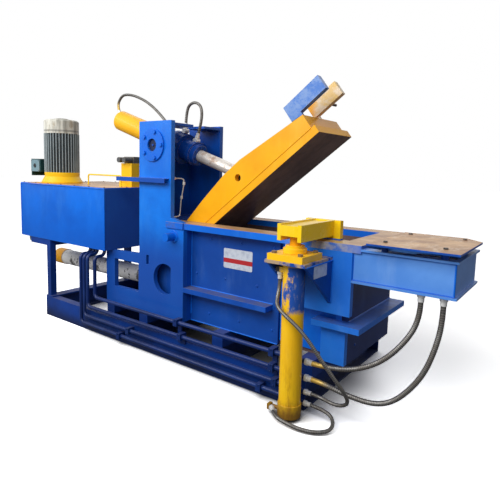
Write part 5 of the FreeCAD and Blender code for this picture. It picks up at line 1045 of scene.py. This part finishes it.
thin_pipe("grease_line", [(0.005, -0.369, 1.405), (0.005, -0.300, 1.405), (0.018, -0.252, 1.402),
                          (0.022, -0.250, 1.375), (0.012, -0.250, 1.310), (-0.009, -0.250, 1.230),
                          (-0.018, -0.250, 1.125), (-0.020, -0.256, 1.098), (-0.020, -0.300, 1.095),
                          (-0.020, -0.369, 1.095)], 0.010, zinc, "frame")
heads("grease_unions", [((0.020, -0.250, 1.352), Z), ((-0.003, -0.250, 1.240), Z),
                        ((0.005, -0.330, 1.405), FRONT), ((-0.020, -0.330, 1.095), FRONT)],
      zinc, "frame", "steel", 0.012, 0.024, 6, 1.0)
thin_pipe("stop_catch", [lid_point(1.462, 0.132, 0.030), lid_point(1.462, 0.132, 0.080),
                         lid_point(1.466, 0.128, 0.110)], 0.020, dark_steel, "lid")

GRILLE_STEP = 0.018
grille = [ring_of((MOTOR_X, MOTOR_Y, COWL_TOP), GRILLE_STEP * k, 36, X, Y) for k in range(1, 4)]
weld("cowl_grille", [ring + ring[:1] for ring in grille], black_iron, "frame",
     0.0025, 0.0, 0.008)

# ---------------------------------------------------------------- floor and backdrop

FLOOR_HALF = 40
# the floor as the camera sees it, bright in the open and shaded under the machine, and as it reflects light
FLOOR_BRIGHT, FLOOR_SHADED, FLOOR_DIM = (2.4, 2.4, 2.4, 1), (0.10, 0.10, 0.10, 1), (0.22, 0.22, 0.23, 1)

ground = bpy.data.meshes.new("ground")
ground.from_pydata([(x * FLOOR_HALF, y * FLOOR_HALF, 0) for x, y in ((-1, -1), (1, -1), (1, 1), (-1, 1))],
                   [], [(0, 1, 2, 3)])
floor = bpy.data.objects.new("floor", ground)
bpy.context.scene.collection.objects.link(floor)
floor_look = Finish("pale_floor", roughness=0.85, specular=0.1)
floor_look.set("Base Color", FLOOR_DIM)
seen = floor_look.add("ShaderNodeLightPath", out="Is Camera Ray")
open_sky = floor_look.add("ShaderNodeAmbientOcclusion", {"samples": 32}, {"Distance": 0.9}, "AO")
shaded = floor_look.add("ShaderNodeBsdfDiffuse", inputs={"Color": FLOOR_SHADED})
bright = floor_look.add("ShaderNodeBsdfDiffuse", inputs={"Color": FLOOR_BRIGHT})
pale = floor_look.add("ShaderNodeMixShader",
                      inputs={0: floor_look.between(open_sky, 0.02, 0.68), 1: shaded, 2: bright})
dim = Wire(floor_look.tree, floor_look.shader.outputs[0])
both = floor_look.add("ShaderNodeMixShader", inputs={0: seen, 1: dim, 2: pale})
floor_look.tree.links.new(both.socket, floor_look.tree.nodes["Material Output"].inputs["Surface"])
ground.materials.append(floor_look.material)

world = bpy.data.worlds.new("studio")
bpy.context.scene.world = world
world.use_nodes = True
sky = Graph(world.node_tree)
mirrored = sky.add("ShaderNodeLightPath", out="Is Glossy Ray")
shown = sky.add("ShaderNodeLightPath", out="Is Camera Ray").larger(mirrored)
glow = sky.add("ShaderNodeMapRange", inputs={"Value": shown, "To Min": 0.22, "To Max": 1.0})
backdrop = world.node_tree.nodes["Background"]
backdrop.inputs["Color"].default_value = (1, 1, 1, 1)
world.node_tree.links.new(glow.socket, backdrop.inputs["Strength"])
